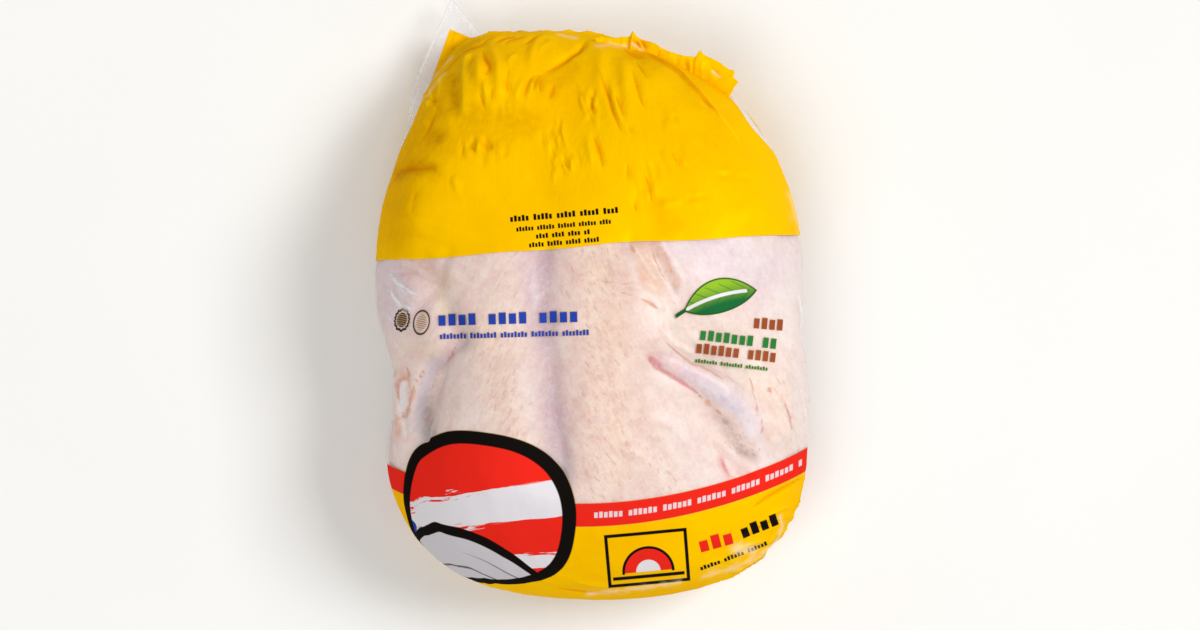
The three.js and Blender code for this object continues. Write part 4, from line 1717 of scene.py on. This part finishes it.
@dataclass(frozen=True)
class Skin:
    """Wet raw skin: pale, mottled, and let through by light."""

    shift: Place
    roughness: float = 0.5
    speckle: float = 0.14

    def streaks(self, graph: Graph, at: Signal, fineness: Place) -> Signal:
        """Noise drawn out along the lie of the feather tracts, which slant away from the keel on both sides.

        Args:
            graph: the material's graph.
            at: places in millimetres.
            fineness: how fast the noise changes along the lie and across it.

        Returns:
            The noise, about 0.5.
        """
        x, y, z = graph.axes(at)
        aside = abs(x - KEEL_X)
        along = y * LIE[1] - aside * LIE[0]
        across = aside * LIE[1] + y * LIE[0]
        return graph.noise(graph.joined(along * fineness[0], across * fineness[1], z * 0.05), 1.0, 3.0, 0.55)

    def material(self, name: str, stain: str = "", tinting: float = 0.0) -> bpy.types.Material:
        """Make the skin's material.

        Args:
            name: its name.
            stain: the screen colour that a small piece on the skin is tinted with.
            tinting: how far it is tinted.

        Returns:
            The material.
        """
        graph = Finish(name)
        at = graph.place(self.shift)
        cloud = graph.noise(at, 0.05, 3.0, 0.6)
        mottle = graph.noise(at, 0.2, 4.0, 0.65)
        fine = graph.noise(at, 0.6, 3.0, 0.6)
        streak = self.streaks(graph, at, (0.12, 0.34))
        dash = self.streaks(graph, at, (0.22, 0.6))
        tract = graph.attribute("tract")
        shade = graph.coats(
            graph.attribute("flesh", "Color"),
            (cloud.above(0.54, 0.3) * 0.35, "#f4e6dc"),
            (cloud.below(0.44, 0.25) * 0.25, "#dbb6b2"),
            (streak.above(0.55, 0.2) * self.speckle, "#f6eae2"),
            (streak.below(0.43, 0.16) * self.speckle, "#dba98f"),
            (mottle.below(0.42, 0.2) * 0.15, "#d7a396"),
            (tract * mottle.above(0.46, 0.2) * 0.45, "#f7dfc6"),
            (tract * dash.below(0.42, 0.12) * 0.4, "#dba686"),
        )
        if stain:
            shade = graph.mix(tinting, shade, stain)
        else:
            for mark in Mark:
                near = graph.attribute(mark.layer) + (mottle - 0.5) * 1.6
                shade = graph.mix(near.below(1.0, 1.0) * 0.8, shade, mark)
            wing = graph.attribute("wing").below(0.0, 1.3) * graph.attribute("wing_shows")
            pale = graph.mix(mottle.above(0.5, 0.3), "#dccdd8", "#f0e3e6")
            shade = graph.mix(wing * 0.2, shade, pale)
        grains = ((fine.above(0.58, 0.2) * 0.16, "#fbf3ec"), (fine.below(0.42, 0.2) * 0.1, "#cf9a8c"))
        inputs = {
            "Base Color": graph.coats(shade, *grains),
            "Roughness": mottle * 0.2 + (self.roughness - 0.1),
            "IOR": 1.42,
            "Subsurface Weight": 0.0 if stain else 0.15,
            "Subsurface Radius": (1.0, 0.45, 0.3),
            "Subsurface Scale": 0.0012,
            "Coat Weight": 0.06,
            "Coat Roughness": 0.2,
            "Normal": graph.bump(fine * 0.35 + streak * 0.9, 0.0006, 0.6),
        }
        return graph.surface(graph.principled(inputs))


@dataclass(frozen=True)
class Scatter:
    """Small slanting bumps spread over a part of the skin. Millimetres."""

    name: str
    weight: str  # the attribute that says where they stand
    stain: str
    spacing: float
    size: float
    shape: Place
    seed: int
    tinting: float


FOLLICLES = Scatter("skin_follicles", "tract", "#dcaa8e", 4.0, 1.8, (1.0, 0.3, 0.08), 7, 0.4)
PIN_FEATHERS = Scatter("pin_feathers", "quills", "#a08577", 1.4, 0.9, (1.0, 0.2, 0.1), 8, 0.6)


@dataclass
class Bird:
    """The chicken inside the bag."""

    grid: PackGrid
    shift: Place
    base_tint: str = "#eccfc3"
    lump: float = 0.55
    lowest: float = 1.0
    hidden_mark: float = 20.0  # how far away, in half widths, a mark counts as on the back
    tracts: tuple[Form, ...] = each(
        Form,
        ("-44,-14 -38,-40 -30,-70", 9, 0.8, 4),
        ("-32,20 -36,0", 6, 0.5, 4),
        ("0,20 4,-20 4,-80", 10, 0.9, 4),
        ("16,-54 30,-82", 10, 0.5, 4),
        ("80,-40 88,-66", 7, 0.7, 4),
    )
    quills: tuple[Form, ...] = each(
        Form,
        ("56,-50 61,-56", 2.6, 0.7, 4),
        ("62,-60 69,-68", 3.2, 1, 4),
        ("-72.6,-50 -73,-60", 2.2, 1, 4),
    )
    relief: Array = field(init=False)
    points: Array = field(init=False)

    def shape(self) -> None:
        """Work out the skin's relief and points."""
        grid = self.grid
        lumps = GradientNoise(3)(grid.plain / 11.0) * self.lump
        lumps += GradientNoise(4)(grid.plain / 4.6) * self.lump * 0.35
        self.relief = grid.relief((*MAIN_FORMS, *SKIN_FORMS)) + lumps
        self.points = grid.place(self.relief, self.lowest)

    def press(self, depth: Array) -> None:
        """Push the skin in under the film's grooves, by a depth at each point."""
        self.points = self.grid.lifted(self.points, -depth, self.lowest)

    def tints(self) -> Array:
        """Work out the skin's colour.

        Returns:
            A linear colour for each point.
        """
        rough = GradientNoise(5)(self.points / 3.4) + 0.5 * GradientNoise(6)(self.points / 1.3)
        top = self.grid.top_side(self.points)
        tint = np.tile(np.array(colour(self.base_tint)), (len(self.points), 1))
        for stain in SKIN_STAINS:
            cover = (np.clip(stain.cover(self.points, rough), 0.0, 1.0) * top)[:, None]
            tint = tint * (1.0 - cover) + np.array(colour(stain.tint)) * cover
        return tint

    def marks(self) -> dict[str, Array]:
        """Measure how far the skin's points lie from its thin marks.

        Returns:
            For each colour, the distance of each point from the nearest mark, in half widths of the mark.
        """
        flat = self.points[:, :2]
        low = self.hidden_mark * smoothstep(0.0, -8.0, self.grid.rise(self.points))
        layers = {mark.layer: [line.away(flat) for line in lines] for mark, lines in SKIN_LINES.items()}
        return {key: np.minimum(self.hidden_mark, np.min(away, axis=0) + low) for key, away in layers.items()}

    def layers(self) -> dict[str, Array]:
        """Gather what the skin's mesh keeps on its points.

        Returns:
            The values by name.
        """
        grid = self.grid
        layers = {"flesh": self.tints(), **self.marks()}
        for key, forms in (("tract", self.tracts), ("quills", self.quills)):
            layers[key] = np.clip(grid.relief(forms), 0.0, 1.0)
        layers["wing"], sunk = WING.outside(grid.shape, grid.plain)
        layers["wing_shows"] = 1.0 - sunk
        aside = np.where(self.points[:, 0] > KEEL_X, -LIE[0], LIE[0])
        layers["lie"] = np.column_stack([aside, np.full(len(aside), LIE[1]), np.zeros(len(aside))])
        return layers

    def build(self) -> list[bpy.types.Object]:
        """Make the skin and what is scattered on it, and dress them.

        Returns:
            The pieces.
        """
        body = self.grid.mesh("chicken_body", self.points, self.shift, self.layers())
        body.data.materials.append(Skin(self.shift).material("raw_skin"))
        pieces = [body, *(self.scatter(body, kind) for kind in (FOLLICLES, PIN_FEATHERS))]
        for piece in pieces:
            LOG.info("%s: %d faces", piece.name, len(piece.data.polygons))
        return pieces

    def scatter(self, body: bpy.types.Object, kind: Scatter) -> bpy.types.Object:
        """Scatter small bumps over the skin with Geometry Nodes.

        Args:
            body: the skin, which keeps where they stand and how they lie as attributes.
            kind: what to scatter.

        Returns:
            The bumps as one mesh.
        """
        finish = Skin(self.shift).material(f"raw_{kind.name}", kind.stain, kind.tinting)
        sizes = {"Spacing": kind.spacing * MM, "Size": kind.size * MM}
        return run_tree(scatter_tree(kind, finish), body, kind.name, finish, sizes)


def scatter_tree(scatter: Scatter, finish: bpy.types.Material) -> bpy.types.NodeTree:
    """Build the Geometry Nodes tree that sets a flattened bump along the lie of the skin at each spot.

    Args:
        scatter: what to scatter.
        finish: the bumps' material.

    Returns:
        The tree, with the inputs Spacing and Size.
    """
    tree = bpy.data.node_groups.new(scatter.name, "GeometryNodeTree")
    for name, way, kind in (
        ("Geometry", "INPUT", "Geometry"),
        ("Spacing", "INPUT", "Float"),
        ("Size", "INPUT", "Float"),
        ("Geometry", "OUTPUT", "Geometry"),
    ):
        tree.interface.new_socket(name, in_out=way, socket_type=f"NodeSocket{kind}")
    graph = Graph(tree)
    given = graph.node("NodeGroupInput")
    weight = graph.node("GeometryNodeInputNamedAttribute", {"data_type": "FLOAT"}, {"Name": scatter.weight})
    lie = graph.node("GeometryNodeInputNamedAttribute", {"data_type": "FLOAT_VECTOR"}, {"Name": "lie"})
    points = graph.node(
        "GeometryNodeDistributePointsOnFaces",
        {"distribute_method": "POISSON"},
        {
            "Mesh": given,
            "Distance Min": given.beside("Spacing"),
            "Density Max": 400000.0,
            "Density Factor": weight,
            "Seed": scatter.seed,
        },
    )
    bump = graph.node("GeometryNodeMeshIcoSphere", {}, {"Radius": given.beside("Size"), "Subdivisions": 2})
    growth = graph.node("FunctionNodeRandomValue", {"data_type": "FLOAT"}, {2: 0.4, 3: 1.0, "Seed": 9}, 1)
    shape = graph.joined(*scatter.shape)
    scale = graph.node("ShaderNodeVectorMath", {"operation": "SCALE"}, {0: shape, "Scale": growth})
    stray = graph.node(
        "FunctionNodeRandomValue",
        {"data_type": "FLOAT_VECTOR"},
        {0: (-0.3, -0.3, 0.0), 1: (0.3, 0.3, 0.0), "Seed": 12},
    )
    aim = graph.node(
        "FunctionNodeAlignRotationToVector",
        {"axis": "X", "pivot_axis": "Z"},
        {"Rotation": points.beside("Rotation"), "Vector": graph.vector_math("ADD", lie, stray)},
    )
    placed = graph.node(
        "GeometryNodeInstanceOnPoints",
        {},
        {"Points": points, "Instance": bump, "Rotation": aim, "Scale": scale},
    )
    real = graph.node("GeometryNodeRealizeInstances", {}, {"Geometry": placed})
    smooth = graph.node("GeometryNodeSetShadeSmooth", {}, {"Geometry": real})
    dressed = graph.node("GeometryNodeSetMaterial", {}, {"Geometry": smooth, "Material": finish})
    graph.add("NodeGroupOutput", {}, {0: dressed})
    return tree


def run_tree(
    tree: bpy.types.NodeTree,
    carrier: bpy.types.Object,
    name: str,
    finish: bpy.types.Material,
    sizes: Mapping[str, float],
) -> bpy.types.Object:
    """Run a Geometry Nodes tree on an object and keep the result as a plain mesh.

    Args:
        tree: the tree.
        carrier: the object it runs on, which is left as it was.
        name: the new piece's name.
        finish: the new piece's material.
        sizes: the tree's inputs, by name.

    Returns:
        The new piece.
    """
    modifier = carrier.modifiers.new(tree.name, "NODES")
    modifier.node_group = tree
    for item in tree.interface.items_tree:
        if item.in_out == "INPUT" and item.name in sizes:
            modifier[item.identifier] = sizes[item.name]
    graph = bpy.context.evaluated_depsgraph_get()
    data = bpy.data.meshes.new_from_object(carrier.evaluated_get(graph), depsgraph=graph)
    carrier.modifiers.remove(modifier)
    data.name = name
    if not data.materials:
        data.materials.append(finish)
    return new_object(name, data)


# ---- the bag


@dataclass(frozen=True)
class LooseSheet:
    """Two plies of spare film between an inner and an outer edge. Millimetres."""

    name: str
    inner: Line
    outer: Line
    waves: float
    wave_height: float
    print_edges: tuple[tuple[Place, Place], ...]
    creases: tuple[Crease, ...] = ()
    columns: int = 120
    rows: int = 70
    thickness: float = 0.7
    crinkle: float = 0.5

    def _faces(self) -> list[tuple[int, ...]]:
        """Join the points of the sheet, which are the upper ply's and then the lower one's.

        Returns:
            The faces of the two plies and of the rim between them.
        """
        wide = self.columns + 1
        layer = wide * (self.rows + 1)
        faces: list[tuple[int, ...]] = []
        for row in range(self.rows):
            for a in range(row * wide, row * wide + self.columns):
                b, c, d = a + 1, a + wide + 1, a + wide
                faces += [(a, b, c, d), (a + layer, d + layer, c + layer, b + layer)]
        border = list(range(self.columns)) + [r * wide + self.columns for r in range(self.rows)]
        border += [self.rows * wide + c for c in range(self.columns, 0, -1)]
        border += [r * wide for r in range(self.rows, 0, -1)]
        for here, there in zip(border, border[1:] + border[:1]):
            faces.append((there, here, here + layer, there + layer))
        return faces

    def build(self, film: Film, shift: Place) -> bpy.types.Object:
        """Make the sheet and dress it.

        Args:
            film: the bag's finish.
            shift: what to add to reach the frame's origin.

        Returns:
            The sheet.
        """
        along, out = np.meshgrid(np.linspace(0, 1, self.columns + 1), np.linspace(0, 1, self.rows + 1))
        along, out = along.ravel(), out.ravel()
        inner, outer = (smooth_curve(edge, along) for edge in (self.inner, self.outer))
        middle = inner * (1 - out)[:, None] + outer * out[:, None]
        noise = GradientNoise(len(self.name))
        wave = self.wave_height * out * np.sin(self.waves * math.pi * along + 1.5 * out)
        wave += self.crinkle * noise.ridged(middle / (6.0, 14.0, 8.0)) * np.clip(3 * out, 0, 1)
        wave += 0.5 * self.crinkle * noise(middle / 3.2)
        lift, lines = crease(self.creases, middle)
        middle[:, 2] += wave + lift
        rim = np.minimum.reduce([along, 1 - along, out, 1 - out])
        plump = self.thickness * (0.12 + 0.88 * smoothstep(0.0, 0.12, rim)) / 2
        points = np.vstack([middle, middle])
        shades = film_shades(points)
        points[:, 2] += np.concatenate([plump, -plump])
        # A slight haze everywhere, with painted glints along the rim and along ridged crinkles.
        haze_and_glint = np.tile(0.5 * (1 - smoothstep(0.0, 0.05, rim)) + 0.1 + 0.2 * noise.ridged(middle / 5.0), 2)
        layers = {"haze_and_glint": haze_and_glint, "slack": np.full(len(haze_and_glint), 0.6), **shades}
        layers.update({key: np.tile(away, 2) for key, away in lines.items()})
        sheet = make_mesh(self.name, (points + np.array(shift)) * MM, self._faces(), layers)
        sheet.data.materials.append(film.corner(self.print_edges))
        LOG.info("%s: %d faces", self.name, len(sheet.data.polygons))
        return sheet


CORNER = LooseSheet(
    name="bag_corner",
    inner=trace("-72,56,36 -58,82,34 -34,98,28"),
    outer=trace("-83,72,30 -81,95,24 -64,136.6,15"),
    waves=5.0,
    wave_height=1.6,
    print_edges=(trace("-80.8,75.9 -64.4,122"), trace("-64.4,122 -54.5,117.7")),
)
EAR = LooseSheet(
    name="bag_ear",
    inner=trace("4,98,50 20,90,50 38,80,48 48,66,46"),
    outer=trace(
        "0.9,116.7,50 4.2,117.3,50 7.8,116.7,50 13.1,117.3,50 16.1,117.5,50 17.7,119.8,52 19.2,117.9,51"
        " 22,116.1,50 26.8,114.7,50 31.7,111.8,50 36.6,110,49.5 41.5,108.8,49 46.3,108.6,48.5 46.7,110.2,49"
        " 48.2,111.2,49.5 49.6,109.4,48.5 55.7,106.5,48 60.1,103.3,47.5 63,102.1,47 62.8,99.3,46.5"
        " 64.8,97.2,47 63,95.6,46.5 62.5,93.5,46 60.9,92,46"
    ),
    waves=5.0,
    wave_height=0.7,
    creases=each(
        Crease,
        ("41.5,108.1 41.5,102.2", 0.8, -0.7),
        ("45.1,107.2 44.6,99.1", 0.8, -0.9),
        ("43.5,107.2 43.8,100", 0.9, 0.9),
        ("49.1,108.1 48.7,101.8", 1.5, 0.9),
        ("52.5,104.5 56.9,99.6", 1.1, -0.6),
        ("49.6,96 57.6,90.6", 1.2, -0.8),
        ("18.3,116.1 21,112.1", 0.7, -1.4),
        ("19.9,116.1 22.3,112.5", 0.6, 1),
        ("21.4,116.1 23.2,112.1", 0.7, -1.2),
        ("29.9,111.6 28.6,106.3", 1.4, -0.7),
    ),
    columns=230,
    print_edges=(trace("-80.8,0 -80.8,122"),),
)


@dataclass
class Bag:
    """The printed film that clings to the bird, with its loose corner and ear."""

    grid: PackGrid
    shift: Place
    film: Film
    cling: float = 0.35
    sunk: float = 1.2  # how much deeper the skin lies under the printed film of the tail
    suction: Place = (4.0, 0.5)  # how far the film may stand off the skin, outside the window and in it
    passes: int = 220
    press_passes: int = 3
    tension: float = 0.0012
    pleat_seed: int = 17
    pleat_depth: float = 1.3
    ripple: float = 0.3

    def wrinkles(self, points: Array) -> tuple[Array, dict[str, Array]]:
        """The film's creases, pleats and ripples.

        Args:
            points: points of the film.

        Returns:
            The lift at each point along its normal, and how far it lies from the nearest valley and ridge.
        """
        y = points[:, 1]
        rise = self.grid.rise(points)
        top = smoothstep(-4.0, 10.0, rise)
        random = np.random.default_rng(self.pleat_seed)
        pleats = [pleat for fan in PLEAT_FANS for pleat in fan.creases(random)]
        lift, lines = crease(FILM_CREASES, points)
        lift += crease(pleats, points)[0]
        lines = {key: away + FAR * (1.0 - top) for key, away in lines.items()}
        lift *= top
        lift += self.tail_folds(points, rise) + self.neck_folds(points, rise)
        window = smoothstep(34.0, 20.0, y) * smoothstep(-84.0, -70.0, y) * top
        lift += self.ripple * GradientNoise(15)(points / (12.0, 16.0, 12.0)) * (1.0 - 0.6 * window)
        side = smoothstep(-2.0, -14.0, rise)
        lift += side * 0.7 * GradientNoise(16).ridged(points / (18.0, 11.0, 30.0))
        return lift * smoothstep(0.0, 6.0, points[:, 2]), lines

    def tail_folds(self, points: Array, rise: Array) -> Array:
        """Work out the slack of the film round the tail end, and its gather under the end.

        Args:
            points: points of the film.
            rise: how far each lies above the widest outline.

        Returns:
            The lift at each.
        """
        y = points[:, 1]
        tail = smoothstep(30.0, 80.0, y)
        low = smoothstep(4.0, -8.0, rise)
        lift = tail * 0.8 * GradientNoise(13)(points / (17.0, 30.0, 17.0))
        lift += tail * low * self.pleat_depth * GradientNoise(11).ridged(points / (9.0, 40.0, 12.0))
        angle = self.grid.angle
        gather = smoothstep(96.0, 117.0, y) * smoothstep(120.0, 119.0, y) * smoothstep(8.0, -4.0, rise)
        return lift + 1.7 * gather * np.sin(14.0 * angle + 2.0 * np.sin(3.0 * angle))

    def neck_folds(self, points: Array, rise: Array) -> Array:
        """Work out the crumple at the neck end: strong at the +X corner and under the end, slight elsewhere.

        Args:
            points: points of the film.
            rise: how far each lies above the widest outline.

        Returns:
            The lift at each.
        """
        x, y, _ = points.T
        neck = smoothstep(-84.0, -122.0, y) * (1.0 - smoothstep(-131.0, -132.5, y))
        corner = smoothstep(44.0, 78.0, x) * smoothstep(-74.0, -92.0, y) * smoothstep(26.0, 8.0, rise)
        low = smoothstep(-4.0, -16.0, rise)
        crumple = GradientNoise(14).ridged(points / (9.0, 13.0, 8.0)) + 0.5 * GradientNoise(18)(points / 6.0)
        return crumple * (1.6 * corner + 1.1 * neck * low + 0.15 * neck)

    def gap(self, under: Array) -> Array:
        """Work out how far the film stands off the skin, which it is sucked onto in the window.

        Args:
            under: the skin's relief.

        Returns:
            The gap at each point.
        """
        grid = self.grid
        free = grid.drape(under, self.cling, self.passes, self.tension) - under - self.cling
        window = smoothstep(34.0, 20.0, grid.y) * smoothstep(-96.0, -84.0, grid.y)
        window *= smoothstep(34.0, 52.0, np.linalg.norm(grid.plain[:, :2] - self.film.layout.badge, axis=1))
        suction = self.suction[0] + (self.suction[1] - self.suction[0]) * window
        return suction * np.tanh(free / suction) + self.cling

    def press(self, bird: Bird, depth: Array) -> None:
        """Press the bird in under the film's grooves, and lower it where the print hides it.

        Args:
            bird: the bird.
            depth: how deep the film goes into the skin at each point.
        """
        grid = self.grid
        depth = np.maximum(depth, 0.0)
        for _ in range(self.press_passes):
            depth = np.maximum(depth, grid.neighbours(depth))
        hidden = smoothstep(24.0, 34.0, grid.y) * smoothstep(6.0, 14.0, grid.rise(grid.plain))
        bird.press(depth + self.sunk * hidden)

    def build(self, bird: Bird) -> list[bpy.types.Object]:
        """Make and dress the film over the bird and the loose sheets, and press the bird in under the film.

        Args:
            bird: the bird, with its shape worked out.

        Returns:
            The three pieces.
        """
        grid = self.grid
        gap = self.gap(bird.relief)
        draped = grid.place(bird.relief + gap)
        lift, lines = self.wrinkles(draped)
        self.press(bird, self.cling - gap - lift)
        points = grid.lifted(draped, lift)
        flat = grid.unrolled(draped)
        # Milkier where the film stands off the skin, with painted glints where it is lifted into ridges.
        haze_and_glint = np.clip((gap - self.cling) / 8.0, 0.0, 0.3) + np.clip((lift - 0.35) / 0.8, 0.0, 0.9)
        top = grid.top_side(points)
        shades = {key: share * top for key, share in film_shades(points).items()}
        slack = 0.15 + 0.85 * smoothstep(24.0, 70.0, points[:, 1])
        layers = {"unrolled": flat, "haze_and_glint": haze_and_glint, "slack": slack, **shades, **lines}
        body = grid.mesh("bag_film", points, self.shift, layers)
        badge = grid.flat_place(points, flat, *self.film.layout.badge)
        body.data.materials.append(self.film.body(badge))
        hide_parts(NODE)
        LOG.info("bag_film: %d faces", len(body.data.polygons))
        return [body, CORNER.build(self.film, self.shift), EAR.build(self.film, self.shift)]


# ---- the studio


@dataclass(frozen=True)
class SoftLight:
    """A square soft light. Metres and watts."""

    name: str
    place: Place
    size: float
    power: float

    def build(self, target: Place) -> None:
        """Add the light.

        Args:
            target: what it faces.
        """
        data = bpy.data.lights.new(self.name, "AREA")
        data.size = self.size
        data.energy = self.power
        item = new_object(self.name, data)
        item.location = self.place
        item.rotation_euler = (Vector(self.place) - Vector(target)).to_track_quat("Z", "Y").to_euler()


@dataclass
class Studio:
    """A plain pale floor, soft lights and a camera straight above."""

    shift: Place
    view_middle: Place = (3.1, -6.7, 45.0)
    view_width: float = 535.8
    camera_height: float = 3000.0
    floor_size: float = 6.0
    lights: tuple[SoftLight, ...] = (
        SoftLight("key", (4.1, 1.4, 5.2), 2.6, 262.0),
        SoftLight("fill", (-1.5, -2.2, 6.2), 4.0, 168.0),
    )
    target: Place = (0.0, 0.0, 0.05)
    sky: Colour = (0.98, 0.99, 1.0, 1.0)
    sky_strength: float = 0.36

    def build(self) -> None:
        """Make the floor, the lights and the camera."""
        self.floor()
        self.world()
        for light in self.lights:
            light.build(self.target)
        self.camera()

    def floor(self) -> None:
        """Make the floor."""
        half = self.floor_size / 2
        data = bpy.data.meshes.new("floor")
        corners = [(x * half, y * half, 0.0) for x, y in ((-1, -1), (1, -1), (1, 1), (-1, 1))]
        data.from_pydata(corners, [], [(0, 1, 2, 3)])
        item = new_object("floor", data)
        graph = Finish("pale_floor")
        shade = graph.mix(graph.noise(graph.place(), 0.006), "#efeeea", "#f4f3f0")
        data.materials.append(graph.surface(graph.principled({"Base Color": shade, "Roughness": 0.7})))

    def world(self) -> None:
        """Make the light that comes from all round."""
        world = bpy.data.worlds.new("studio")
        world.use_nodes = True
        background = world.node_tree.nodes["Background"]
        background.inputs["Color"].default_value = self.sky
        background.inputs["Strength"].default_value = self.sky_strength
        bpy.context.scene.world = world

    def camera(self) -> None:
        """Add the camera, and show colours as they are."""
        data = bpy.data.cameras.new("camera")
        data.lens = data.sensor_width * (self.camera_height - self.view_middle[2]) / self.view_width
        item = new_object("camera", data)
        x, y = (self.view_middle[i] + self.shift[i] for i in (0, 1))
        item.location = (x * MM, y * MM, self.camera_height * MM)
        bpy.context.scene.camera = item
        bpy.context.scene.view_settings.view_transform = "Standard"


def pack_shift(grid: PackGrid) -> Place:
    """Work out what moves the pack's own axes to the frame's, so that the film lies over the solid.

    Args:
        grid: the pack's grid.

    Returns:
        The shift, in millimetres.
    """
    _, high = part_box(NODE)
    sides = grid.place(grid.relief(MAIN_FORMS))[:, 0]
    return (-(float(sides.min()) + float(sides.max())) / 2, high.y / MM - grid.shape.corner_tip_y, 0.0)


def main() -> None:
    """Build the bird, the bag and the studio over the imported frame."""
    logging.basicConfig(level=logging.INFO, format="%(name)s %(message)s")
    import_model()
    grid = PackGrid(PackShape())
    shift = pack_shift(grid)
    LOG.info("shift %.3f %.3f mm", shift[0], shift[1])
    bird = Bird(grid, shift)
    bird.shape()
    bag = Bag(grid, shift, Film(PrintLayout(), shift))
    for piece in (*bag.build(bird), *bird.build()):
        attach(piece, BODY)
    Studio(shift).build()


if __name__ == "__main__":
    main()
